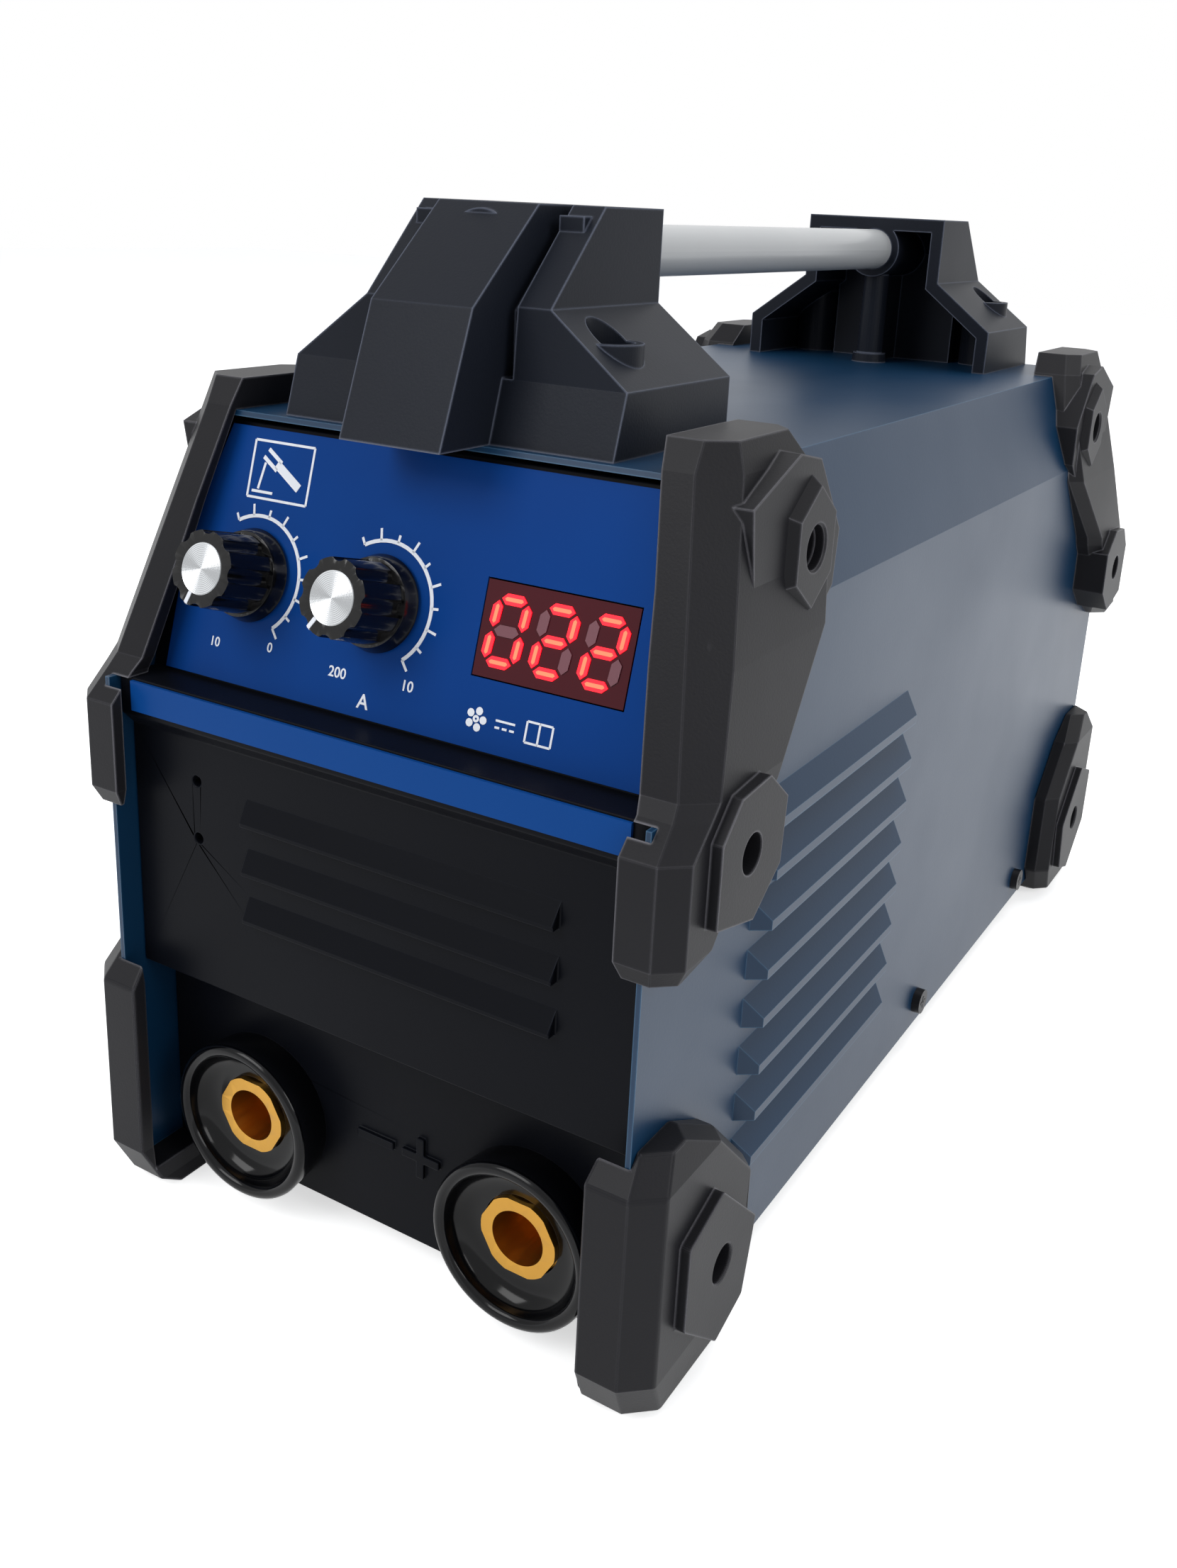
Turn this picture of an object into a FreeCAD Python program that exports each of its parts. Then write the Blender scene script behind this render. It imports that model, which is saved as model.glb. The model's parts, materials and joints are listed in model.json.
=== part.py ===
"""Stick welding inverter, modelled as the pieces that it is assembled from.

X points right as the operator faces the controls, Y points from the controls to the fan end,
and Z points up. The origin lies on the ground, midway between the four foot guards.
"""
import FreeCAD, Part
import math
import os
import re
import Sketcher
from FreeCAD import Placement, Rotation, Vector

doc = FreeCAD.newDocument("StickWeldingInverter")

# ---------------------------------------------------------------- driving dimensions, mm
SIZES = {
    # sheet-metal case
    "case_length": 340, "case_width": 140, "case_height": 184.5, "foot_height": 7,
    "gauge": 1.2, "crease_height": 156, "top_width": 120, "knee_height": 126,
    "cover_step": 8, "cover_setback": 19, "fit_gap": 0.3, "tray_flange": 16, "cover_screw": 7,
    "cover_screw_back": 60, "vent_count": 5, "vent_length": 44, "vent_width": 4, "vent_pitch": 9,
    "vent_first": 40, "vent_middle": 28,
    # side louvres
    "louvre_count": 8, "louvre_pitch": 11.75, "louvre_first": 110, "louvre_start": 46,
    "louvre_length": 90, "louvre_rise": 9, "louvre_depth": 4, "louvre_wall": 1,
    # front moulding
    "panel_wall": 2.5, "panel_front": 13, "panel_setback": 16, "panel_rise": 56,
    "strip_front": 3, "strip_height": 8, "lower_front": 6, "plate_front": 15,
    "plate_height": 51, "label_wall": 0.8, "panel_lip": 4, "strip_wall": 0.8,
    "rib_count": 3, "rib_length": 82, "rib_pitch": 11.8, "rib_first": 74, "rib_shift": 7,
    "rib_rise": 7, "rib_lip": 1, "rib_relief": 2.4, "rib_root": 0.5,
    "sign_place": 4.25, "sign_gap": 13, "sign_length": 10.5, "sign_stroke": 2, "sign_relief": 1,
    "sign_height": 23.5, "pin_hole": 1.3, "pin_hole_place": -49, "pin_hole_first": 90,
    "pin_hole_pitch": 14,
    # controls
    "control_height": 24.9, "current_place": -7.1, "force_place": -42.9,
    "knob_radius": 9, "skirt_radius": 10.4, "knob_height": 15, "skirt_height": 3.2,
    "flute_count": 8, "flute_radius": 2.1, "knob_gap": 0.8, "cap_radius": 5.6, "cap_wall": 1,
    "shaft_radius": 3, "shaft_slack": 0.05, "bush_radius": 4.4, "pot_radius": 8, "pot_depth": 9,
    "display_place": 36.1, "display_width": 35, "display_height": 19.5, "display_depth": 9,
    "lens_wall": 1, "board_wall": 1.6,
    # output sockets
    "socket_place": 38.7, "socket_height": 18.7, "collar_radius": 20, "collar_reach": 10,
    "collar_wall": 3, "insert_radius": 9.6, "socket_bore": 6.55, "insert_recess": 4.5,
    "socket_body_radius": 14, "socket_depth": 18, "socket_stud": 5, "bar_wall": 2.5, "bar_width": 16,
    # handle
    "wing_width": 83, "tower_width": 46, "block_width": 25, "bracket_front": 29,
    "bracket_back": 77, "wing_height": 13, "shoulder_height": 27, "tower_height": 46.5,
    "block_front": 12.6, "shell_wall": 4, "tube_radius": 6.2, "tube_wall": 1.5,
    "tube_height": 221, "tube_inset": 44, "socket_wall": 2.5,
    "bracket_screw": 30, "bracket_screw_back": 45, "bracket_hole": 5, "groove_width": 2.6, "groove_depth": 3,
    # corner guards
    "guard_wall": 8, "guard_boss": 2.5, "guard_hole": 4.2, "guard_lip": 3,
    "top_screw_back": 54, "top_screw_up": 169, "top_screw_seat": 2.5614,
    "knee_screw_back": 21, "knee_screw_up": 117, "foot_screw_back": 24, "foot_screw_up": 22,
    "side_screw_seat": 4, "guard_rise": 7,
    # fasteners
    "screw_radius": 2, "screw_head": 3.7, "head_height": 2.4, "screw_length": 12,
    # fan end
    "rear_inset": 11, "fan_size": 80, "fan_depth": 25, "fan_height": 56, "fan_arm": 4,
    "rotor_gap": 2.5, "hub_radius": 16, "blade_count": 7, "axle_radius": 1.5,
    "axle_slack": 0.04, "grille_ring": 5.4, "grille_pitch": 8.4, "grille_bar": 4,
    "switch_width": 15, "switch_height": 26, "switch_place": 36, "switch_down": 30,
    "rocker_gap": 0.4, "gland_place": -30, "gland_radius": 11, "gland_bore": 5, "gland_down": 30,
    "earth_place": 4, "earth_radius": 3,
    # power electronics
    "board_rise": 10, "board_width": 120, "board_start": 54, "board_back": 48, "post_inset": 5,
    "sink_width": 46, "sink_height": 62, "sink_start": 146, "sink_back": 98, "fin_count": 8,
    "sink_gap": 18, "can_back": 80, "can_inner": 15, "can_outer": 44, "bridge_back": 64,
    "fin_wall": 2, "sink_base": 6, "can_radius": 13, "can_height": 42, "core_width": 56,
    "core_height": 52, "core_length": 40, "core_start": 84,
}

sheet = doc.addObject("Spreadsheet::Sheet", "Sizes")
for row, (alias, number) in enumerate(SIZES.items(), start=1):
    sheet.set("A%d" % row, alias)
    sheet.set("B%d" % row, str(number))
    sheet.setAlias("B%d" % row, alias)
doc.recompute()

FRONT = "(-case_length / 2)"
REAR = "(case_length / 2)"
DECK = "(foot_height + case_height)"
KNEE = "(foot_height + knee_height)"
FLOOR = "(foot_height + gauge)"
INNER = "(case_width / 2 - gauge)"
LEAN = "(90 deg - atan(panel_setback / panel_rise))"
ROTOR = "(fan_size / 2 - rotor_gap)"
BOARD_LENGTH = "(case_length - board_start - board_back)"
SINK_LENGTH = "(case_length - sink_start - sink_back)"
ALONG_X, ALONG_Y = (Vector(0, 1, 0), 90), (Vector(1, 0, 0), -90)


# ---------------------------------------------------------------- helpers
def bind(text):
    """Point each size named in an expression at its cell."""
    return re.sub(r"[a-z_]+", lambda word: "Sizes." + word[0] if word[0] in SIZES else word[0],
                  str(text))


def value(text):
    """Give the present value of an expression, in mm."""
    result = sheet.evalExpression(bind(text))
    return float(getattr(result, "Value", result))


def locate(thing, at, turn=None):
    """Bind a piece's place, and turn it about an axis by an angle in degrees."""
    if turn:
        thing.Placement = Placement(Vector(), Rotation(turn[0], turn[1]))
    for letter, text in zip("xyz", at):
        thing.setExpression("Placement.Base." + letter, bind(text))
    return thing


def solid(kind, at, turn=None, **sizes):
    """Make a Part primitive whose sizes are bound to the sheet."""
    thing = doc.addObject("Part::" + kind, kind)
    for prop, text in sizes.items():
        thing.setExpression(prop, bind(text))
    return locate(thing, at, turn)


def box(width, depth, height, at):
    """Make a box from its lowest corner."""
    return solid("Box", at, Length=width, Width=depth, Height=height)


def mid_box(width, depth, height, at):
    """Make a box that is centred across X on its place."""
    x, y, z = at
    return box(width, depth, height, ("%s - (%s) / 2" % (x, width), y, z))


def rod(radius, height, at, turn=None):
    """Make a cylinder that stands on its place."""
    return solid("Cylinder", at, turn, Radius=radius, Height=height)


def cone(low, high, height, at, turn=None):
    """Make a cone that stands on its place."""
    return solid("Cone", at, turn, Radius1=low, Radius2=high, Height=height)


def hexagon(across, height, at, turn=None):
    """Make a six-sided prism that stands on its place."""
    thing = solid("Prism", at, turn, Circumradius=across, Height=height)
    thing.Polygon = 6
    return thing


def prism(plane, corners, depth, at=(0, 0, 0)):
    """Pad a closed outline whose corners are expressions: YZ goes to +X, XZ to +Y, XY to +Z."""
    body = doc.addObject("PartDesign::Body", "Body")
    sketch = body.newObject("Sketcher::SketchObject", "Outline")
    base = [f for f in body.Origin.OriginFeatures if f.Role == plane + "_Plane"][0]
    sketch.AttachmentSupport = (base, [""])
    sketch.MapMode = "FlatFace"
    spots = [Vector(value(a), value(b), 0) for a, b in corners]
    for i, spot in enumerate(spots):
        sketch.addGeometry(Part.LineSegment(spot, spots[(i + 1) % len(spots)]))
    for i, (across, up) in enumerate(corners):
        sketch.addConstraint(Sketcher.Constraint("Coincident", i, 2, (i + 1) % len(corners), 1))
        for kind, text in (("DistanceX", across), ("DistanceY", up)):
            index = sketch.addConstraint(Sketcher.Constraint(kind, -1, 1, i, 1, value(text)))
            sketch.setExpression("Constraints[%d]" % index, bind(text))
    pad = body.newObject("PartDesign::Pad", "Pad")
    pad.Profile = sketch
    pad.Reversed = plane == "XZ"
    pad.setExpression("Length", bind(depth))
    return locate(body, at)


def join(kind, pieces):
    """Make one Part boolean or compound from several pieces."""
    thing = doc.addObject("Part::" + kind, kind)
    setattr(thing, "Links" if kind == "Compound" else "Shapes", list(pieces))
    return thing


def fuse(*pieces):
    """Fuse pieces into one solid."""
    return join("MultiFuse", pieces)


def common(*pieces):
    """Keep what all the pieces share."""
    return join("MultiCommon", pieces)


def group(*pieces):
    """Hold separate solids together as one node."""
    return join("Compound", pieces)


def cut(base, *tools):
    """Take the tools away from a piece."""
    thing = doc.addObject("Part::Cut", "Cut")
    thing.Base = base
    thing.Tool = tools[0] if len(tools) == 1 else group(*tools)
    return thing


def mirrored(thing, normal=Vector(1, 0, 0)):
    """Make the other hand of a piece."""
    other = doc.addObject("Part::Mirroring", "Mirroring")
    other.Source = thing
    other.Normal = normal
    return other


def front_controls(thing):
    """Seat a piece drawn in the control panel's own frame: X across, Y up it, Z out of it."""
    thing = group(thing)
    locate(thing, (0, FRONT + " + panel_front", KNEE), (Vector(1, 0, 0), 75))
    thing.setExpression("Placement.Rotation.Angle", bind(LEAN))
    return thing


def rear_controls(thing):
    """Seat a piece drawn in the rear slope's own frame: X across, Y down it, Z out of it."""
    top = (0, REAR + " - rear_inset - panel_setback", KNEE + " + panel_rise")
    thing = group(thing)
    locate(thing, top, (Vector(-1, 0, 0), 75))
    thing.setExpression("Placement.Rotation.Angle", bind(LEAN))
    return thing


NODES = []


def node(name, thing):
    """Name a finished sub-part, which also names its file."""
    thing.Label = name
    NODES.append(thing)
    return thing


# ---------------------------------------------------------------- case
def hoop(inset, length, start):
    """Make a solid with the cover's cross-section, inset all round."""
    low, high = "(case_width / 2 - %s)" % inset, "(top_width / 2 - %s)" % inset
    top = "%s - %s" % (DECK, inset)
    corners = [("-" + low, "foot_height"), (low, "foot_height"),
               (low, "foot_height + crease_height"), (high, top), ("-" + high, top),
               ("-" + low, "foot_height + crease_height")]
    return prism("XZ", corners, length, (0, start, 0))


def end_wedges():
    """Make the two wedges that lean the case's ends inwards above the knee."""
    wedges = []
    for side in (-1, 1):
        edge = "%d * case_length / 2" % side
        foot, top = ("%s - %d * (%s)" % (edge, side, inset)
                     for inset in ("cover_step", "cover_step + cover_setback"))
        out = "%s + %d * 5" % (edge, side)
        corners = [(out, KNEE), (foot, KNEE), (top, DECK), (top, DECK + " + 5"), (out, DECK + " + 5")]
        wedges.append(prism("YZ", corners, "case_width + 20", ("-case_width / 2 - 10", 0, 0)))
    return wedges


def louvre(side, index, inset):
    """Make one pressed louvre, or with an inset the hollow behind it."""
    thing = doc.addObject("Part::Wedge", "Louvre")
    far = "louvre_length - %s" % inset
    limits = {"Xmin": inset, "Xmax": far, "X2min": "louvre_depth + %s" % inset,
              "X2max": "louvre_length - louvre_depth - %s" % inset,
              "Zmin": "0 - %s / 2" % inset, "Zmax": "louvre_rise - %s" % inset,
              "Z2min": "0 - %s / 2" % inset, "Z2max": "louvre_rise / 4 - %s / 4" % inset,
              "Ymin": "0 - gauge - 0.2 * gauge", "Ymax": "louvre_depth - %s" % inset}
    for prop, text in limits.items():
        thing.setExpression(prop, bind(text))
    level = "foot_height + louvre_first - %d * louvre_pitch" % index
    if side > 0:
        at = ("case_width / 2", FRONT + " + louvre_start + louvre_length", level)
        return locate(thing, at, (Vector(0, 0, 1), -90))
    return locate(thing, ("-case_width / 2", FRONT + " + louvre_start", level), (Vector(0, 0, 1), 90))


def bracket_spots():
    """List the four places where the brackets screw to the case."""
    across, along = "bracket_screw", "(case_length / 2 - bracket_screw_back)"
    return [("-" + across, "-" + along), (across, "-" + along), ("-" + across, along), (across, along)]


COVER_SCREWS = ("cover_screw", "case_length / 2 - cover_screw_back")
SLOPE_SIDE = ("(case_width / 2 - (top_screw_up - crease_height) * (case_width - top_width) / 2"
              " / (case_height - crease_height))")
UPPER_SCREWS = [(SLOPE_SIDE + " + top_screw_seat", "top_screw_back", "top_screw_up"),
                ("case_width / 2 + side_screw_seat", "knee_screw_back", "knee_screw_up")]
LOWER_SCREWS = [("case_width / 2 + side_screw_seat", "foot_screw_back", "foot_screw_up")]
count = int(value("louvre_count"))
shell = cut(hoop("0", "case_length", FRONT),
            hoop("gauge", "case_length + 2", FRONT + " - 1"),
            box("case_width - 2 * gauge", "case_length + 2", "2 * gauge",
                ("gauge - case_width / 2", FRONT + " - 1", "foot_height - gauge")),
            *end_wedges())
pressed = fuse(shell, *[louvre(side, i, "0") for side in (-1, 1) for i in range(count)])
hollows = [louvre(side, i, "louvre_wall") for side in (-1, 1) for i in range(count)]
cover_holes = [rod("screw_radius + fit_gap", "case_width + 20", ("-case_width / 2 - 10", along,
                   "foot_height + tray_flange / 2"), ALONG_X) for along in COVER_SCREWS]
deck_holes = [rod("screw_radius + fit_gap", "10", (x, y, DECK + " - 5")) for x, y in bracket_spots()]
guard_holes = [rod("screw_radius + fit_gap", "case_width + 20",
                   ("-case_width / 2 - 10", "%d * (case_length / 2 - %s)" % (end, y),
                    "foot_height + " + z), ALONG_X)
               for _, y, z in UPPER_SCREWS + LOWER_SCREWS for end in (-1, 1)]
node("cover", cut(pressed, *(hollows + cover_holes + deck_holes + guard_holes)))

tray_half = "(case_width / 2 - gauge)"
tray = prism("XZ", [("-" + tray_half, "foot_height"), (tray_half, "foot_height"),
                    (tray_half, "foot_height + tray_flange"),
                    (tray_half + " - gauge", "foot_height + tray_flange"),
                    (tray_half + " - gauge", FLOOR), ("gauge - " + tray_half, FLOOR),
                    ("gauge - " + tray_half, "foot_height + tray_flange"),
                    ("-" + tray_half, "foot_height + tray_flange")],
             "case_length - plate_front - panel_wall - rear_inset - gauge",
             (0, FRONT + " + plate_front + panel_wall", 0))
tray_holes = [rod("screw_radius + fit_gap", "case_width + 20", ("-case_width / 2 - 10", along,
                  "foot_height + tray_flange / 2"), ALONG_X) for along in COVER_SCREWS]
vents = [mid_box("vent_length", "vent_width", "gauge * 3",
                 ("%d * vent_middle" % side, FRONT + " + vent_first + %d * vent_pitch" % i,
                  "foot_height - gauge"))
         for side in (-1, 1) for i in range(int(value("vent_count")))]
node("base_tray", cut(tray, *(tray_holes + vents)))

# ---------------------------------------------------------------- front moulding
slope = "(sqrt(panel_rise * panel_rise + panel_setback * panel_setback) / panel_rise)"
sink = "(panel_wall * %s - panel_wall * panel_setback / panel_rise)" % slope
wide = "(case_width - 2 * gauge - 2 * fit_gap)"
line = [("plate_front", "foot_height"), ("plate_front", "foot_height + plate_height"),
        ("lower_front", "foot_height + plate_height + 2"),
        ("lower_front", KNEE + " - strip_height - 4"),
        ("strip_front", KNEE + " - strip_height - 1"), ("strip_front", KNEE),
        ("panel_front", KNEE), ("panel_front + panel_setback", KNEE + " + panel_rise"),
        ("panel_front + panel_setback + panel_lip", KNEE + " + panel_rise")]
back = [("panel_front + panel_setback + panel_lip", KNEE + " + panel_rise - panel_wall"),
        ("panel_front + panel_setback + " + sink, KNEE + " + panel_rise - panel_wall"),
        ("panel_front + " + sink, KNEE + " - panel_wall"),
        ("strip_front + panel_wall", KNEE + " - panel_wall"),
        ("strip_front + panel_wall", KNEE + " - strip_height"),
        ("lower_front + panel_wall", KNEE + " - strip_height - 3"),
        ("lower_front + panel_wall", "foot_height + plate_height + 2 + panel_wall"),
        ("plate_front + panel_wall", "foot_height + plate_height + panel_wall"),
        ("plate_front + panel_wall", "foot_height")]
corners = [(FRONT + " + " + along, up) for along, up in line + back]
moulding = prism("YZ", corners, wide, ("-%s / 2" % wide, 0, 0))


def front_rib(index):
    """Make one blind rib of the lower front panel."""
    level = "foot_height + rib_first + %d * rib_pitch" % index
    root = FRONT + " + lower_front + rib_root"
    crest = FRONT + " + lower_front - rib_relief"
    corners = [(root, level), (crest, level), (crest, level + " + rib_lip"), (root, level + " + rib_rise")]
    return prism("YZ", corners, "rib_length", ("rib_shift - rib_length / 2", 0, 0))


def lean_trims(start):
    """Make the two wedges that keep an end panel inside the cover's leaning sides."""
    lean = "(case_width / 2 - top_width / 2)"
    trims = []
    for side in (-1, 1):
        low = "%d * (%s - fit_gap)" % (side, INNER)
        high = "%d * (%s - fit_gap - %s)" % (side, INNER, lean)
        out = "%d * (case_width / 2 + 5)" % side
        crease = "foot_height + crease_height"
        edge = DECK + " - gauge"
        corners = [(low, crease), (high, edge), (out, edge), (out, crease)]
        trims.append(prism("XZ", corners, "60", (0, start, 0)))
    return trims


socket_holes = [rod("socket_body_radius", "10", ("%s * socket_place" % side,
                    FRONT + " + plate_front - 3", "foot_height + socket_height"), ALONG_Y)
                for side in (-1, 1)]
windows = front_controls(group(
    mid_box("display_width + fit_gap * 2", "display_height + fit_gap * 2", "20",
            ("display_place", "control_height - display_height / 2 - fit_gap", "-10")),
    rod("bush_radius + fit_gap", "20", ("current_place", "control_height", "-10")),
    rod("bush_radius + fit_gap", "20", ("force_place", "control_height", "-10"))))
small_holes = [rod("pin_hole", "10", ("pin_hole_place", FRONT + " + lower_front - 3",
                   "foot_height + pin_hole_first + %d * pin_hole_pitch" % i), ALONG_Y) for i in range(2)]
sign_face, sign_level = FRONT + " + plate_front - sign_relief", "foot_height + sign_height"
minus, plus = "(0 - sign_place)", "(sign_gap - sign_place)"
signs = [mid_box("sign_length", "sign_relief", "sign_stroke",
                 (middle, sign_face, sign_level + " - sign_stroke / 2")) for middle in (minus, plus)]
signs.append(mid_box("sign_stroke", "sign_relief", "sign_length",
                     (plus, sign_face, sign_level + " - sign_length / 2")))
ribs = [front_rib(i) for i in range(int(value("rib_count")))]
node("front_panel", cut(fuse(moulding, *(ribs + signs)),
                        *(lean_trims(FRONT) + socket_holes + [windows] + small_holes)))

label_rise = "(sqrt(panel_rise * panel_rise + panel_setback * panel_setback) - 1)"
label_half, label_top = "(case_width / 2 - 6)", "(top_width / 2 - 4)"
label_plate = prism("XY", [("-" + label_half, "0.5"), (label_half, "0.5"), (label_half, "30"),
                           (label_top, label_rise), ("-" + label_top, label_rise),
                           ("-" + label_half, "30")], "label_wall")
node("control_label", front_controls(cut(
    label_plate,
    mid_box("display_width + fit_gap * 2", "display_height + fit_gap * 2", "20",
            ("display_place", "control_height - display_height / 2 - fit_gap", "-10")),
    rod("bush_radius + fit_gap", "20", ("current_place", "control_height", "-10")),
    rod("bush_radius + fit_gap", "20", ("force_place", "control_height", "-10")))))
node("trim_strip", mid_box("case_width - 4 * gauge - 6", "strip_wall", "strip_height - 1",
                           (0, FRONT + " + strip_front - strip_wall", KNEE + " - strip_height + 0.5")))


# ---------------------------------------------------------------- controls
def knob(name, place):
    """Make a fluted, skirted knob, its metal cap and the shaft that it is pushed on."""
    low = "(label_wall + knob_gap)"
    skirt = cone("skirt_radius", "knob_radius + 0.4", "skirt_height", (place, "control_height", low))
    grip = cone("knob_radius", "knob_radius - 0.7", "knob_height",
                (place, "control_height", low))
    flutes = []
    for i in range(int(value("flute_count"))):
        turn = "(%d * 360 deg / flute_count)" % i
        across = "%s + (knob_radius + 0.6) * cos(%s)" % (place, turn)
        up = "control_height + (knob_radius + 0.6) * sin(%s)" % turn
        flutes.append(rod("flute_radius", "knob_height", (across, up, low + " + skirt_height")))
    seat = rod("cap_radius", "cap_wall + 1", (place, "control_height", low + " + knob_height - cap_wall"))
    bore = rod("shaft_radius", "knob_height - 3", (place, "control_height", low + " - 0.01"))
    well = rod("bush_radius + 2", "3", (place, "control_height", low + " - 0.01"))
    node(name + "_knob", front_controls(cut(fuse(skirt, grip), *(flutes + [seat, bore, well]))))
    node(name + "_knob_cap", front_controls(
        rod("cap_radius", "cap_wall", (place, "control_height", low + " + knob_height - cap_wall"))))
    node(name + "_shaft", front_controls(
        rod("shaft_radius", "knob_height - 3 + knob_gap + label_wall + panel_wall + 1",
            (place, "control_height", "-panel_wall - 1"))))
    can = rod("pot_radius", "pot_depth", (place, "control_height", "-panel_wall - pot_depth"))
    bush = rod("bush_radius", "panel_wall + label_wall + 1.5",
               (place, "control_height", "-panel_wall"))
    pins = mid_box("10", "pot_radius + 3", "1.2", (place, "control_height - pot_radius - 3",
                                                   "-panel_wall - pot_depth + 1"))
    hole = rod("shaft_radius + shaft_slack", "20", (place, "control_height", "-panel_wall - 1.5"))
    node(name + "_potentiometer", front_controls(cut(fuse(can, bush, pins), hole)))


knob("current", "current_place")
knob("arc_force", "force_place")
node("display_module", front_controls(mid_box(
    "display_width", "display_height", "display_depth - lens_wall",
    ("display_place", "control_height - display_height / 2", "label_wall - display_depth"))))
node("display_lens", front_controls(mid_box(
    "display_width", "display_height", "lens_wall",
    ("display_place", "control_height - display_height / 2", "label_wall - lens_wall"))))
node("control_board", front_controls(mid_box(
    "case_width - 24", "36", "board_wall",
    (0, "control_height - 20", "-panel_wall - pot_depth - board_wall"))))
lift = "(panel_wall + pot_depth + label_wall - display_depth)"
node("display_header", front_controls(mid_box(
    "display_width - 6", "8", lift, ("display_place", "control_height - 4", "-panel_wall - pot_depth"))))


# ---------------------------------------------------------------- output sockets
def socket(name, side):
    """Make one panel socket: flared collar, brass insert and the nut behind the panel."""
    across, up = "%d * socket_place" % side, "foot_height + socket_height"
    face = FRONT + " + plate_front"
    flange = cone("collar_radius", "collar_radius - 1", "collar_reach",
                  (across, face + " - collar_reach", up), ALONG_Y)
    body = rod("socket_body_radius", "panel_wall + 4", (across, face, up), ALONG_Y)
    flare = cone("collar_radius - collar_wall / 2", "insert_radius + 1.4",
                 "insert_recess + 1", (across, face + " - collar_reach - 0.01", up), ALONG_Y)
    bore = rod("insert_radius", "60", (across, face + " - collar_reach", up), ALONG_Y)
    node("socket_collar_" + name, cut(fuse(flange, body), flare, bore))
    start = face + " - collar_reach + insert_recess"
    facets = hexagon("insert_radius * 1.1", "3", (across, start, up), ALONG_Y)
    nose = common(facets, rod("insert_radius", "3", (across, start, up), ALONG_Y))
    rest = rod("insert_radius", "socket_depth - 3", (across, start + " + 3", up), ALONG_Y)
    stud = rod("socket_stud", "12", (across, start + " + socket_depth", up), ALONG_Y)
    drill = rod("socket_bore", "socket_depth - 3", (across, start + " - 0.01", up), ALONG_Y)
    node("socket_insert_" + name, cut(fuse(nose, rest, stud), drill))
    ring = hexagon("socket_body_radius + 5", "4", (across, face + " + panel_wall", up), ALONG_Y)
    node("socket_nut_" + name, cut(ring, rod("socket_body_radius", "20", (across, face, up), ALONG_Y)))
    end, deck = start + " + socket_depth", FLOOR + " + board_rise + board_wall"
    rail = FRONT + " + board_start + 8"
    corners = [(end, deck), (rail, deck), (rail, deck + " + bar_wall"),
               (end + " + bar_wall", deck + " + bar_wall"), (end + " + bar_wall", up + " + 9"),
               (end, up + " + 9")]
    bar = prism("YZ", corners, "bar_width", ("%s - bar_width / 2" % across, 0, 0))
    node("busbar_" + name, cut(bar, rod("socket_stud", "20", (across, end + " - 5", up), ALONG_Y)))


for name, side in (("negative", -1), ("positive", 1)):
    socket(name, side)


# ---------------------------------------------------------------- carrying handle
def bracket_silhouette(inset, lift):
    """Give the bracket's front outline, inset by a wall."""
    wing, tower = "(wing_width / 2 - %s)" % inset, "(tower_width / 2 - %s)" % inset
    top = DECK + " + tower_height - %s" % inset
    right = [(wing, DECK + lift), (wing, DECK + " + wing_height - %s / 2" % inset),
             (tower, DECK + " + shoulder_height - %s / 2" % inset), (tower, top)]
    return right + [("-" + across, up) for across, up in reversed(right)]


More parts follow.
